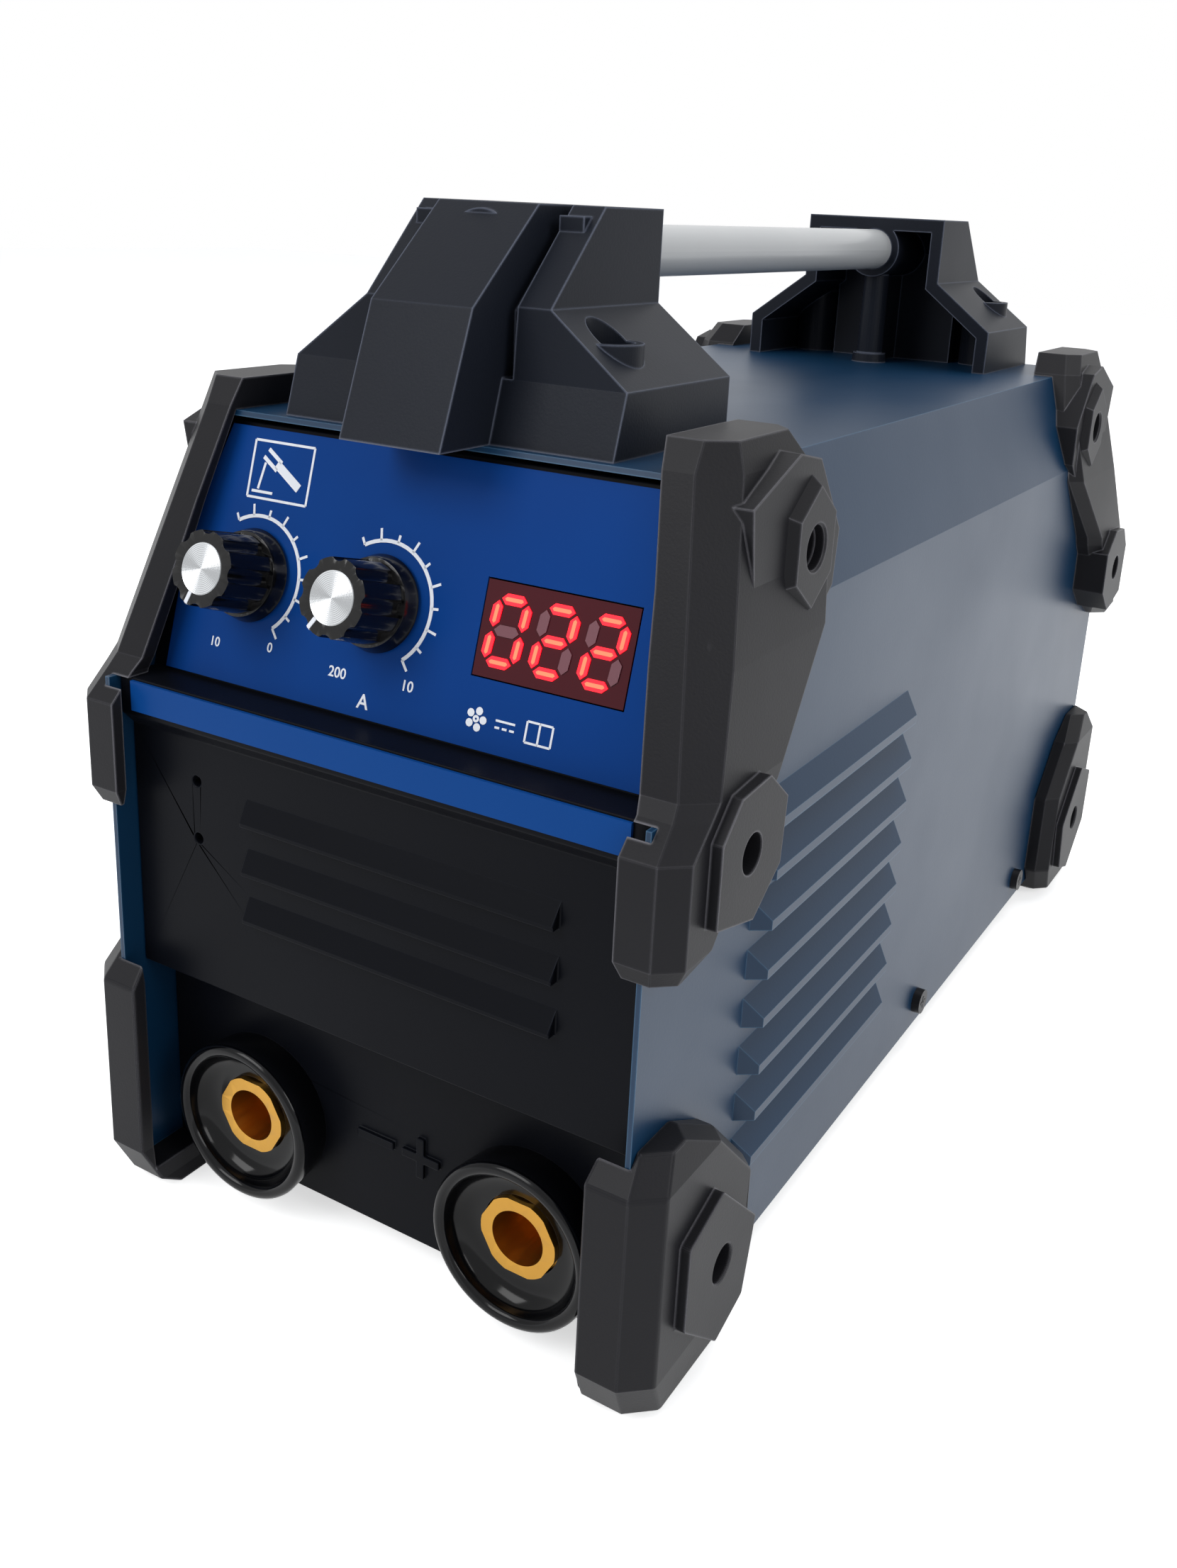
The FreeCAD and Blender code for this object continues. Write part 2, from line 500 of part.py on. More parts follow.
def handle_bracket():
    """Make the front bracket: wings, two towers and a centre block over a hollow shell."""
    depth = "bracket_back - bracket_front"
    front = FRONT + " + bracket_front"
    width = "wing_width + 10"
    side = [(front, DECK), (front + " + 4", DECK + " + wing_height"),
            (front + " + 5", DECK + " + shoulder_height"),
            (front + " + 24", DECK + " + tower_height"),
            (FRONT + " + bracket_back", DECK + " + tower_height"),
            (FRONT + " + bracket_back", DECK)]
    body = common(prism("XZ", bracket_silhouette("0", ""), depth, (0, front, 0)),
                  prism("YZ", side, width, ("-wing_width / 2 - 5", 0, 0)))
    nose = FRONT + " + block_front"
    block = prism("YZ", [(nose, DECK), (nose + " + 10", DECK + " + shoulder_height"),
                         (nose + " + 32", DECK + " + tower_height"),
                         (FRONT + " + bracket_back", DECK + " + tower_height"),
                         (FRONT + " + bracket_back", DECK)], "block_width", ("-block_width / 2", 0, 0))
    inner = [(front + " + shell_wall + 4", DECK + " - 1"),
             (front + " + shell_wall + 8", DECK + " + shoulder_height - shell_wall"),
             (front + " + shell_wall + 24", DECK + " + tower_height - shell_wall"),
             (FRONT + " + bracket_back + 1", DECK + " + tower_height - shell_wall"),
             (FRONT + " + bracket_back + 1", DECK + " - 1")]
    hollow = common(prism("XZ", bracket_silhouette("shell_wall", " - 1"), depth + " + 1", (0, front, 0)),
                    prism("YZ", inner, width, ("-wing_width / 2 - 5", 0, 0)))
    pillars, bores, shanks = [], [], []
    for x, y in bracket_spots()[:2]:
        pillars.append(rod("bracket_hole + 2", "shoulder_height - shell_wall - 2", (x, y, DECK)))
        bores.append(rod("bracket_hole", "60", (x, y, DECK + " + shell_wall")))
        shanks.append(rod("screw_radius + fit_gap", "20", (x, y, DECK + " - 1")))
    end = FRONT + " + tube_inset"
    axis = "foot_height + tube_height"
    holder = rod("tube_radius + socket_wall", "bracket_back - tube_inset + 2",
                 (0, end + " - 2", axis), ALONG_Y)
    web = mid_box("3", "bracket_back - tube_inset - 6", "tube_height + foot_height - %s" % DECK,
                  (0, end, DECK))
    cross_web = mid_box("tower_width - 4", "3", "tower_height - 2", (0, end + " + 4", DECK))
    bore = rod("tube_radius", "60", (0, end, axis), ALONG_Y)
    grooves = []
    for hand in (-1, 1):
        rim = [(front + " - 2", DECK + " + shoulder_height - 14"),
               (front + " - 2", DECK + " + shoulder_height + 2"),
               (front + " + 20", DECK + " + tower_height + 2"),
               (FRONT + " + bracket_back - 8", DECK + " + tower_height + 2"),
               (FRONT + " + bracket_back - 8", DECK + " + tower_height - groove_depth"),
               (front + " + 26", DECK + " + tower_height - groove_depth"),
               (front + " + 5 + groove_depth", DECK + " + shoulder_height - 1"),
               (front + " + 5 + groove_depth", DECK + " + shoulder_height - 14")]
        grooves.append(prism("YZ", rim, "groove_width",
                             ("%d * (block_width + groove_width) / 2 - groove_width / 2" % hand, 0, 0)))
    shell = cut(fuse(body, block), hollow)
    return cut(fuse(shell, holder, web, cross_web, *pillars), bore, *(bores + shanks + grooves))


def turned(thing):
    """Turn a piece half round, to the fan end."""
    whole = group(thing)
    whole.Placement = Placement(Vector(), Rotation(Vector(0, 0, 1), 180))
    return whole


node("handle_bracket_front", handle_bracket())
node("handle_bracket_rear", turned(handle_bracket()))
tube_length = "(case_length - 2 * tube_inset)"
tube_at = (0, "-%s / 2" % tube_length, "foot_height + tube_height")
node("handle_tube", cut(rod("tube_radius", tube_length, tube_at, ALONG_Y),
                        rod("tube_radius - tube_wall", tube_length, tube_at, ALONG_Y)))


def screw(x, y, z, turn=None):
    """Make a pan-head screw whose head rests on its place, with the shank going the other way."""
    head = rod("screw_head", "head_height", (x, y, z), turn)
    back = "xyz".index("x" if turn is ALONG_X else "y" if turn is ALONG_Y else "z")
    at = ["%s - screw_length" % place if i == back else place for i, place in enumerate((x, y, z))]
    return fuse(head, rod("screw_radius", "screw_length", at, turn))


node("handle_screws", group(*[screw(x, y, DECK + " + shell_wall") for x, y in bracket_spots()]))


# ---------------------------------------------------------------- corner guards
def section(level, front, inner, face, side, back):
    """Give one level of a guard: lip inside the corner, bevelled face and side wall."""
    start = value(FRONT)
    bevel = (side - face) * 0.9
    spots = [(inner, front), (face, front), (side, front + bevel), (side, back - 4), (side - 4, back),
             (inner, back)]
    height = value("foot_height") + level
    points = [Vector(x, start + y, height) for x, y in spots]
    return Part.makePolygon(points + points[:1])


def guard_form(levels):
    """Loft a guard through its levels."""
    form = doc.addObject("Part::Feature", "GuardForm")
    form.Shape = Part.makeLoft([section(*level) for level in levels], True, True)
    return form


def guard(levels, plates, screws):
    """Make a right-hand front guard that wraps the case's corner, with raised hexagonal bosses."""
    envelope = cut(hoop("0", "case_length", FRONT), *end_wedges())
    bosses = []
    for corners, side in plates:
        spots = [(FRONT + " + %s" % y, "foot_height + %s" % z) for y, z in corners]
        bosses.append(prism("YZ", spots, "%s + guard_boss - case_width / 2 + 8" % side,
                            ("case_width / 2 - 8", 0, 0)))
    holes = []
    for x, y, z in screws:
        place = (FRONT + " + %s" % y, "foot_height + %s" % z)
        holes.append(rod("guard_hole", "40", (x,) + place, ALONG_X))
        holes.append(rod("screw_radius + fit_gap", "40", ("case_width / 2 - 20",) + place, ALONG_X))
    return cut(fuse(guard_form(levels), *bosses), envelope, *holes)


wall, half = value("guard_wall"), value("case_width / 2")
out = half + wall
lip = value("guard_lip")
knee, top = value("knee_height"), value("case_height + guard_rise")
UPPER = [
    (knee - 30, 2 - lip, half - 4, half + 2, out - 2, 8),
    (knee - 26, -lip, half - 5, half + 3, out, 16),
    (knee - 5, -lip, half - 5, half + 3, out, 34),
    (knee + 1, 3, half - 5, half + 2.5, out, 40),
    (knee + 4, 5.5, half - 6, half + 2, out, 42),
    (knee + 26, 13.2, half - 10, half - 2.4, out - 3.5, 66),
    (knee + 39, 17.8, half - 12, half - 5, out - 6, 70),
    (top - 6, 25, half - 16, half - 9, out - 10, 64),
    (top, 28, half - 17, half - 9, out - 12, 58)]
UPPER_BOSSES = [
    ([(28, 180), (31, 163), (60, 150), (70, 158), (71, 170), (58, 186), (48, 188)], "(case_width / 2 - 0.5)"),
    ([(8, 123), (8, 106), (24, 102), (35, 110), (36, 124), (27, 131), (15, 130)],
     "(case_width / 2 + guard_wall)")]
LOWER = [
    (-value("foot_height"), 6, half - 10, half - 1, out - 4, 32),
    (-4, 1, half - 9, half + 1, out - 1, 38),
    (6, -4, half - 8, half + 2, out, 45),
    (34, -4, half - 8, half + 2, out, 45),
    (51, -4, half - 8, half + 2, out, 28),
    (58, 2, half - 7, half + 1, out - 2, 15)]
LOWER_BOSSES = [([(8, 36), (8, 16), (24, 2), (36, 6), (40, 24), (22, 41)], "(case_width / 2 + guard_wall)")]


def corner(name, *design):
    """Make the four guards of one kind, at the four corners."""
    node(name + "_front_right", guard(*design))
    node(name + "_front_left", mirrored(guard(*design)))
    node(name + "_rear_left", turned(guard(*design)))
    node(name + "_rear_right", turned(mirrored(guard(*design))))


corner("corner_guard", UPPER, UPPER_BOSSES, UPPER_SCREWS)
corner("foot_guard", LOWER, LOWER_BOSSES, LOWER_SCREWS)
fastened = []
for x, y, z in UPPER_SCREWS + LOWER_SCREWS:
    for turn_end in (False, True):
        for flip in (False, True):
            piece = screw(x, FRONT + " + " + y, "foot_height + " + z, ALONG_X)
            piece = mirrored(piece) if flip else piece
            fastened.append(turned(piece) if turn_end else piece)
node("guard_screws", group(*fastened))
side_screws = []
for along in COVER_SCREWS:
    one = screw("case_width / 2", along, "foot_height + tray_flange / 2", ALONG_X)
    two = screw("case_width / 2", along, "foot_height + tray_flange / 2", ALONG_X)
    side_screws += [one, mirrored(two)]
node("cover_screws", group(*side_screws))

# ---------------------------------------------------------------- rear panel
rear_line = [("rear_inset", "foot_height"), ("rear_inset", KNEE),
             ("rear_inset + panel_setback", KNEE + " + panel_rise"),
             ("rear_inset + panel_setback + panel_lip", KNEE + " + panel_rise"),
             ("rear_inset + panel_setback + panel_lip", KNEE + " + panel_rise - gauge"),
             ("rear_inset + panel_setback + gauge * %s - gauge * panel_setback / panel_rise" % slope,
              KNEE + " + panel_rise - gauge"),
             ("rear_inset + gauge", KNEE + " - gauge * (%s - 1) * panel_rise / panel_setback" % slope),
             ("rear_inset + gauge", "foot_height")]
rear_sheet = prism("YZ", [("%s - (%s)" % (REAR, along), up) for along, up in rear_line], wide,
                   ("-%s / 2" % wide, 0, 0))
fan_face = REAR + " - rear_inset - gauge"
fan_centre = "foot_height + fan_height"
rings = []
for i in range(4):
    outer = "(fan_size / 2 - 2 - %d * grille_pitch)" % i
    at = (0, fan_face + " - 2", fan_centre)
    rings.append(cut(rod(outer, "6", at, ALONG_Y), rod("(%s - grille_ring)" % outer, "6", at, ALONG_Y)))
spokes = fuse(mid_box("grille_bar", "8", "fan_size", (0, fan_face + " - 3", fan_centre + " - fan_size / 2")),
              mid_box("fan_size", "8", "grille_bar",
                      (0, fan_face + " - 3", fan_centre + " - grille_bar / 2")))
grille = cut(group(*rings), spokes)
corner_bolt = "(fan_size / 2 - 4.2)"
bolt_spots = [("%d * %s" % (a, corner_bolt), "%s + %d * %s" % (fan_centre, b, corner_bolt))
              for a in (-1, 1) for b in (-1, 1)]
bolt_holes = [rod("screw_radius + fit_gap", "10", (x, fan_face + " - 4", z), ALONG_Y) for x, z in bolt_spots]
rear_cuts = rear_controls(group(
    mid_box("switch_width + fit_gap", "switch_height + fit_gap", "20",
            ("switch_place", "switch_down - switch_height / 2 - fit_gap / 2", "-10")),
    rod("gland_radius - 2", "20", ("gland_place", "gland_down", "-10")),
    rod("earth_radius", "20", ("earth_place", "gland_down", "-10"))))
node("rear_panel", cut(rear_sheet, grille, rear_cuts, *(bolt_holes + lean_trims(REAR + " - 60"))))

# ---------------------------------------------------------------- fan
fan_start = fan_face + " - fan_depth"
square = mid_box("fan_size", "fan_depth", "fan_size", (0, fan_start, fan_centre + " - fan_size / 2"))
throat = rod(ROTOR + " + 1", "fan_depth + 2", (0, fan_start + " - 1", fan_centre), ALONG_Y)
stator = rod("hub_radius - 1", "fan_arm", (0, fan_face + " - fan_arm", fan_centre), ALONG_Y)
arm_length, arm_face = "fan_size / 2 - hub_radius + fan_arm", fan_face + " - fan_arm"
arms = [mid_box("fan_arm", "fan_arm", arm_length, (0, arm_face, fan_centre + start))
        for start in (" + hub_radius - fan_arm", " - fan_size / 2")]
arms += [box(arm_length, "fan_arm", "fan_arm", (start, arm_face, fan_centre + " - fan_arm / 2"))
         for start in ("hub_radius - fan_arm", "-fan_size / 2")]
bearing = rod("axle_radius + 2", "8", (0, fan_face + " - 10", fan_centre), ALONG_Y)
frame_holes = [rod("screw_radius", "40", (x, fan_start + " - 5", z), ALONG_Y) for x, z in bolt_spots]
axle_hole = rod("axle_radius + axle_slack", "30", (0, fan_face + " - 20", fan_centre), ALONG_Y)
node("fan_frame", cut(fuse(cut(square, throat), stator, bearing, *arms), axle_hole, *frame_holes))


def blade_wire(radius, pitch, chord, middle):
    """Give one end of a fan blade: a thin slanted strip at a radius from the axle."""
    across = Vector(math.cos(math.radians(pitch)), 0, math.sin(math.radians(pitch))) * (chord / 2)
    thick = Vector(-math.sin(math.radians(pitch)), 0, math.cos(math.radians(pitch))) * 0.8
    centre = Vector(0, radius, middle)
    points = [centre + across + thick, centre - across + thick, centre - across - thick,
              centre + across - thick]
    return Part.makePolygon(points + points[:1])


ROOT_PITCH, ROOT_CHORD, TIP_PITCH, TIP_CHORD = 48, 15, 32, 21
blades = []
middle = value("fan_depth") / 2 - 3
root, tip = value("hub_radius") - 1.5, value(ROTOR) - 0.5
for i in range(int(value("blade_count"))):
    blade = doc.addObject("Part::Feature", "Blade")
    ends = [blade_wire(root, ROOT_PITCH, ROOT_CHORD, middle), blade_wire(tip, TIP_PITCH, TIP_CHORD, middle)]
    blade.Shape = Part.makeLoft(ends, True, True)
    blade.Placement = Placement(Vector(), Rotation(Vector(0, 0, 1), i * 360 / value("blade_count")))
    blades.append(blade)
hub = cut(rod("hub_radius", "fan_depth - 8", (0, 0, 2)),
          rod("hub_radius - 1.5", "fan_depth", (0, 0, 4)))
axle = rod("axle_radius", "fan_depth - 6", (0, 0, 2))
node("fan_rotor", locate(fuse(hub, axle, *blades), (0, fan_start, fan_centre), ALONG_Y))
node("fan_screws", group(*[screw(x, REAR + " - rear_inset", z, ALONG_Y) for x, z in bolt_spots]))

# ---------------------------------------------------------------- mains switch, gland and earth
bezel = mid_box("switch_width + 5", "switch_height + 5", "2",
                ("switch_place", "switch_down - switch_height / 2 - 2.5", "0"))
can = mid_box("switch_width", "switch_height", "20",
              ("switch_place", "switch_down - switch_height / 2", "-20"))
cavity = mid_box("switch_width - 3", "switch_height - 4", "12",
                 ("switch_place", "switch_down - switch_height / 2 + 2", "-8"))
pivot = rod("axle_radius + axle_slack", "switch_width - 1",
            ("switch_place - switch_width / 2 + 0.5", "switch_down", "0"), ALONG_X)
tabs = [mid_box("6", "1", "8", ("switch_place", "switch_down + %d" % v, "-28")) for v in (-8, 7)]
node("power_switch_body", rear_controls(cut(fuse(bezel, can, *tabs), cavity, pivot)))
rocker = prism("YZ", [("-10", "-1"), ("0", "-4"), ("10", "-1"), ("10", "4.6"), ("0", "3"), ("-10", "4.6")],
               "switch_width - 3 - 2 * rocker_gap", ("-switch_width / 2 + 1.5 + rocker_gap", 0, 0))
pins = rod("axle_radius", "switch_width - 1.4", ("-switch_width / 2 + 0.7", 0, 0), ALONG_X)
rocking = locate(fuse(rocker, pins), ("switch_place", "switch_down", 0), (Vector(1, 0, 0), 9))
node("power_switch_rocker", rear_controls(group(rocking)))
flange = hexagon("gland_radius + 2", "5", ("gland_place", "gland_down", 0))
dome = cone("gland_radius", "gland_radius - 3", "14", ("gland_place", "gland_down", "5"))
thread = rod("gland_radius - 2", "12", ("gland_place", "gland_down", "-12"))
node("cable_gland", rear_controls(cut(fuse(flange, dome, thread),
                                      rod("gland_bore", "60", ("gland_place", "gland_down", "-20")))))
node("gland_nut", rear_controls(cut(
    hexagon("gland_radius + 2", "4", ("gland_place", "gland_down", "-gauge - 4")),
    rod("gland_radius - 2", "20", ("gland_place", "gland_down", "-10")))))
node("earth_stud", rear_controls(fuse(rod("earth_radius", "24", ("earth_place", "gland_down", "-8")),
                                      hexagon("earth_radius + 2.6", "4",
                                              ("earth_place", "gland_down", "0")))))

# ---------------------------------------------------------------- power electronics
board_level = FLOOR + " + board_rise"
deck_level = board_level + " + board_wall"


def along(offset):
    """Measure a place along the board from the front edge of the case."""
    return FRONT + " + " + str(offset)


posts = [(a, b) for a in ("post_inset - board_width / 2", "board_width / 2 - post_inset")
         for b in (along("board_start + post_inset + 1"),
                   along("board_start + %s - post_inset - 1" % BOARD_LENGTH))]
node("board_posts", group(*[rod("3", "board_rise", (x, y, FLOOR)) for x, y in posts]))
node("main_board", mid_box("board_width", BOARD_LENGTH, "board_wall",
                           (0, along("board_start"), board_level)))
for name, hand in (("left", -1), ("right", 1)):
    centre = "%d * (sink_width + sink_gap) / 2" % hand
    start = along("sink_start")
    plate = mid_box("sink_width", SINK_LENGTH, "sink_base", (centre, start, deck_level))
    fins = [box("fin_wall", SINK_LENGTH, "sink_height",
                ("%s - sink_width / 2 + %d * (sink_width - fin_wall) / (fin_count - 1)" % (centre, i),
                 start, deck_level)) for i in range(int(value("fin_count")))]
    node("heatsink_" + name, fuse(plate, *fins))
node("power_transistors", group(*[mid_box("16", "5", "22", (x, along("sink_start - 5"), deck_level))
                                  for x in (-45, -22, 22, 45)]))
cans = [rod("can_radius", "can_height", (side + place, REAR + " - can_back", deck_level))
        for side in ("-", "") for place in ("can_outer", "can_inner")]
node("filter_capacitors", group(*cans))
node("bridge_rectifier", mid_box("28", "14", "9", (0, REAR + " - bridge_back", deck_level)))
outer = mid_box("core_width", "core_length", "core_height", (0, along("core_start"), deck_level))
windows = [mid_box("12", "core_length + 2", "core_height - 20",
                   (place, along("core_start - 1"), deck_level + " + 10")) for place in (-14, 14)]
node("transformer_core", cut(outer, *windows))
coil = cut(mid_box("39", "core_length + 22", "core_height - 20",
                   (0, along("core_start - 11"), deck_level + " + 10")),
           mid_box("16", "core_length", "core_height", (0, along("core_start"), deck_level)))
node("transformer_winding", coil)
choke = solid("Torus", (45, along("core_start + 18"), deck_level + " + 6"), Radius1="10", Radius2="4.6")
node("output_choke", fuse(choke, rod("13", "4", (45, along("core_start + 18"), deck_level))))
node("soft_start_relay", mid_box("20", "28", "18", (-45, along("core_start + 4"), deck_level)))

# ---------------------------------------------------------------- check and write
doc.recompute()
for thing in doc.Objects:
    if {"Invalid", "Error"} & set(thing.State):
        raise RuntimeError("%s (%s) failed: %s" % (thing.Name, thing.Label, thing.State))
for thing in NODES:
    if thing.Shape.isNull() or not thing.Shape.isValid() or not thing.Shape.Solids:
        raise RuntimeError("%s has no valid solid" % thing.Label)
os.makedirs("parts", exist_ok=True)
for thing in NODES:
    thing.Shape.exportStep("parts/%s.step" % thing.Label)
print("%d nodes written" % len(NODES))
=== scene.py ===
"""Dressing of the stick welding inverter: finishes, display, dials, marks and small trim.

Everything is in metres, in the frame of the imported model. X points right as the operator faces
the controls, Y points from the controls to the fan end, and Z points up.
"""

import json
import logging
import math
from dataclasses import dataclass
from enum import Enum

import bmesh
import bpy
from mathutils import Matrix, Vector

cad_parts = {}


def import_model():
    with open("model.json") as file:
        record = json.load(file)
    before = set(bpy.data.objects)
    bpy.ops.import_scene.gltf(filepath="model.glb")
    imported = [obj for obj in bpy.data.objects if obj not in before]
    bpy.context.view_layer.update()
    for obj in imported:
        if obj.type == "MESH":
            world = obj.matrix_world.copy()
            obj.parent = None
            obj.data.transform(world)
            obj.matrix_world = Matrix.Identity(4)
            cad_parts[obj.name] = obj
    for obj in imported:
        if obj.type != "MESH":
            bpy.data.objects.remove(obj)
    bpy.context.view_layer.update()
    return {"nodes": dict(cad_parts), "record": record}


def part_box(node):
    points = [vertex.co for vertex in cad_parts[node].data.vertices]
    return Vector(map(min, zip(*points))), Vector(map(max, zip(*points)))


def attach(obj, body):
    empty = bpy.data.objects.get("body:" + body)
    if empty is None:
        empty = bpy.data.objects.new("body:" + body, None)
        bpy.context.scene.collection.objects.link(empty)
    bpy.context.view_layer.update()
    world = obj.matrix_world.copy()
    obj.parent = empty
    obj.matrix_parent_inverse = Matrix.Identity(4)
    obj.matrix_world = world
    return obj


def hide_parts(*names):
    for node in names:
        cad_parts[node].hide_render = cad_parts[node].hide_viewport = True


LOG = logging.getLogger("welding_inverter")
MM = 0.001
ENDS = {-1: "front", 1: "rear"}
SIDES = {-1: "left", 1: "right"}
WELD = 0.001 * MM

# Every finish drifts a little in colour and gloss over a hand's breadth, as real surfaces do.
DRIFT_MM = 55.0
DRIFT_DETAIL = 5.0
GLOSS_DRIFT = 0.06
LEAST_ROUGHNESS = 0.03
LACQUER_ROUGHNESS = 0.12
# Painted edge highlight: the cosine between the face and its rounded normal where the painted highlight
# starts and is full.
EDGE_HIGHLIGHT_SAMPLES = 6
EDGE_HIGHLIGHT_START = 0.995
EDGE_HIGHLIGHT_FULL = 0.86
EDGE_HIGHLIGHT_SHARE = 0.75
# Fine relief: its depth as a share of its width, and how far drawn lines stretch along the case.
GRAIN_DETAIL = 3.0
GRAIN_DEPTH = 0.2
DRAWN_STRETCH = (1.0, 0.04, 1.0)


class Grain(Enum):
    """The kinds of fine surface pattern that the finishes use."""

    NONE = "none"
    POWDER_COAT = "powder_coat"
    MOULDED = "moulded"
    DRAWN = "drawn"


def mm(*sizes: float) -> tuple[float, ...]:
    """Turn sizes in millimetres into metres."""
    return tuple(size * MM for size in sizes)


def at(across: float, along: float, up: float = 0.0) -> Matrix:
    """Give the matrix of a plain shift."""
    return Matrix.Translation((across, along, up))


def linear(hex_colour: str) -> tuple[float, float, float, float]:
    """Turn an sRGB hex colour into a linear colour.

    Args:
        hex_colour: Six hexadecimal digits.

    Returns:
        Linear red, green, blue and an alpha of one.
    """
    channels = [int(hex_colour[i:i + 2], 16) / 255 for i in (0, 2, 4)]
    values = [c / 12.92 if c <= 0.04045 else ((c + 0.055) / 1.055) ** 2.4 for c in channels]
    return (values[0], values[1], values[2], 1.0)


def add_node(tree: bpy.types.NodeTree, kind: str, fields: dict[str, object] | None = None,
             values: dict[str | int, object] | None = None,
             links: dict[str | int, bpy.types.NodeSocket] | None = None) -> bpy.types.Node:
    """Add a node with its settings and links.

    Args:
        tree: The node tree to add to.
        kind: The node's type.
        fields: The node's own settings, by name.
        values: The values of its inputs, by name or number.
        links: The sockets that feed its inputs, by name or number.

    Returns:
        The new node.
    """
    node = tree.nodes.new(kind)
    for name, value in (fields or {}).items():
        setattr(node, name, value)
    for name, value in (values or {}).items():
        node.inputs[name].default_value = value
    for name, socket in (links or {}).items():
        tree.links.new(socket, node.inputs[name])
    return node


# ---------------------------------------------------------------- finishes
@dataclass(frozen=True)
class Finish:
    """One real surface finish, with its colour, gloss, grain and painted edge highlight.

    The paints and plastics keep the usual IOR of 1.5, and mirror is how much of the reflection that
    it gives is left after the matting of the real surface.
    """

    name: str
    colour: str
    shade: str
    roughness: float
    metallic: float = 0.0
    mirror: float = 0.5
    coat: float = 0.0
    grain: Grain = Grain.NONE
    grain_mm: float = 1.0
    bump: float = 0.1
    # edge is the colour of a painted highlight along the edges, and the width after it is that highlight's
    # width.
    edge: str = ""
    edge_highlight_mm: float = 0.6
    glow: float = 0.0

    def build(self) -> bpy.types.Material:
        """Make the node material.

        Returns:
            The finished material.
        """
        material = bpy.data.materials.new(self.name)
        material.use_nodes = True
        tree = material.node_tree
        shader = tree.nodes["Principled BSDF"]
        shader.inputs["Metallic"].default_value = self.metallic
        shader.inputs["Specular IOR Level"].default_value = self.mirror
        shader.inputs["Coat Weight"].default_value = self.coat
        shader.inputs["Coat Roughness"].default_value = LACQUER_ROUGHNESS
        place = add_node(tree, "ShaderNodeTexCoord").outputs["Object"]
        drift = add_node(tree, "ShaderNodeTexNoise",
                         values={"Scale": 1 / (DRIFT_MM * MM), "Detail": DRIFT_DETAIL},
                         links={"Vector": place}).outputs["Fac"]
        colour = add_node(tree, "ShaderNodeMix", {"data_type": "RGBA"},
                          {"A": linear(self.colour), "B": linear(self.shade)},
                          {"Factor": drift}).outputs["Result"]
        # Painted highlight: the edges are lightened in the base colour.
        if self.edge:
            colour = self._painted_edge_highlight(tree, colour)
        tree.links.new(colour, shader.inputs["Base Color"])
        gloss = add_node(tree, "ShaderNodeMapRange",
                         values={"To Min": max(LEAST_ROUGHNESS, self.roughness - GLOSS_DRIFT),
                                 "To Max": min(1.0, self.roughness + GLOSS_DRIFT)},
                         links={"Value": drift})
        tree.links.new(gloss.outputs["Result"], shader.inputs["Roughness"])
        if self.grain is not Grain.NONE:
            tree.links.new(self._relief(tree, place), shader.inputs["Normal"])
        if self.glow:
            shader.inputs["Emission Color"].default_value = linear(self.colour)
            shader.inputs["Emission Strength"].default_value = self.glow
        return material

    def _painted_edge_highlight(self, tree: bpy.types.NodeTree, colour: bpy.types.NodeSocket) -> bpy.types.NodeSocket:
        """Lighten the colour where two faces meet, as a painted highlight.

        Args:
            tree: The material's node tree.
            colour: The colour to lighten.

        Returns:
            The colour with its painted edge highlight.
        """
        rounded = add_node(tree, "ShaderNodeBevel", {"samples": EDGE_HIGHLIGHT_SAMPLES}, {"Radius": self.edge_highlight_mm * MM})
        flat = add_node(tree, "ShaderNodeNewGeometry")
        match = add_node(tree, "ShaderNodeVectorMath", {"operation": "DOT_PRODUCT"},
                         links={0: rounded.outputs["Normal"], 1: flat.outputs["True Normal"]})
        amount = add_node(tree, "ShaderNodeMapRange",
                          values={"From Min": EDGE_HIGHLIGHT_START, "From Max": EDGE_HIGHLIGHT_FULL, "To Max": EDGE_HIGHLIGHT_SHARE},
                          links={"Value": match.outputs["Value"]})
        highlighted = add_node(tree, "ShaderNodeMix", {"data_type": "RGBA"}, {"B": linear(self.edge)},
                        {"Factor": amount.outputs["Result"], "A": colour})
        return highlighted.outputs["Result"]

    def _relief(self, tree: bpy.types.NodeTree, place: bpy.types.NodeSocket) -> bpy.types.NodeSocket:
        """Make the fine relief of the finish.

        Args:
            tree: The material's node tree.
            place: Where on the object, in metres.

        Returns:
            The normal with its relief.
        """
        if self.grain is Grain.DRAWN:
            place = add_node(tree, "ShaderNodeMapping", values={"Scale": DRAWN_STRETCH},
                             links={"Vector": place}).outputs["Vector"]
        grain = add_node(tree, "ShaderNodeTexNoise",
                         values={"Scale": 1 / (self.grain_mm * MM), "Detail": GRAIN_DETAIL},
                         links={"Vector": place})
        bump = add_node(tree, "ShaderNodeBump",
                        values={"Strength": self.bump, "Distance": GRAIN_DEPTH * self.grain_mm * MM},
                        links={"Height": grain.outputs["Fac"]})
        return bump.outputs["Normal"]


# Powder coat on folded steel: satin, with a slight orange peel of about a millimetre that spreads the
# reflections, and a paler line painted along each fold as a highlight.
CASE_PAINT = Finish("navy_powder_coat", "0a2f4c", "082842", 0.36, mirror=0.28,
                    grain=Grain.POWDER_COAT, grain_mm=0.9, bump=0.08, edge="3f6482", edge_highlight_mm=0.5)
# The same coat in black on the end plates: a finer peel, hardly any shine, and a faint painted highlight
# along the edges.
BLACK_PAINT = Finish("black_powder_coat", "0d0f15", "090a0e", 0.36, mirror=0.05,
                     grain=Grain.POWDER_COAT, grain_mm=0.7, bump=0.1, edge="22252c", edge_highlight_mm=0.4)
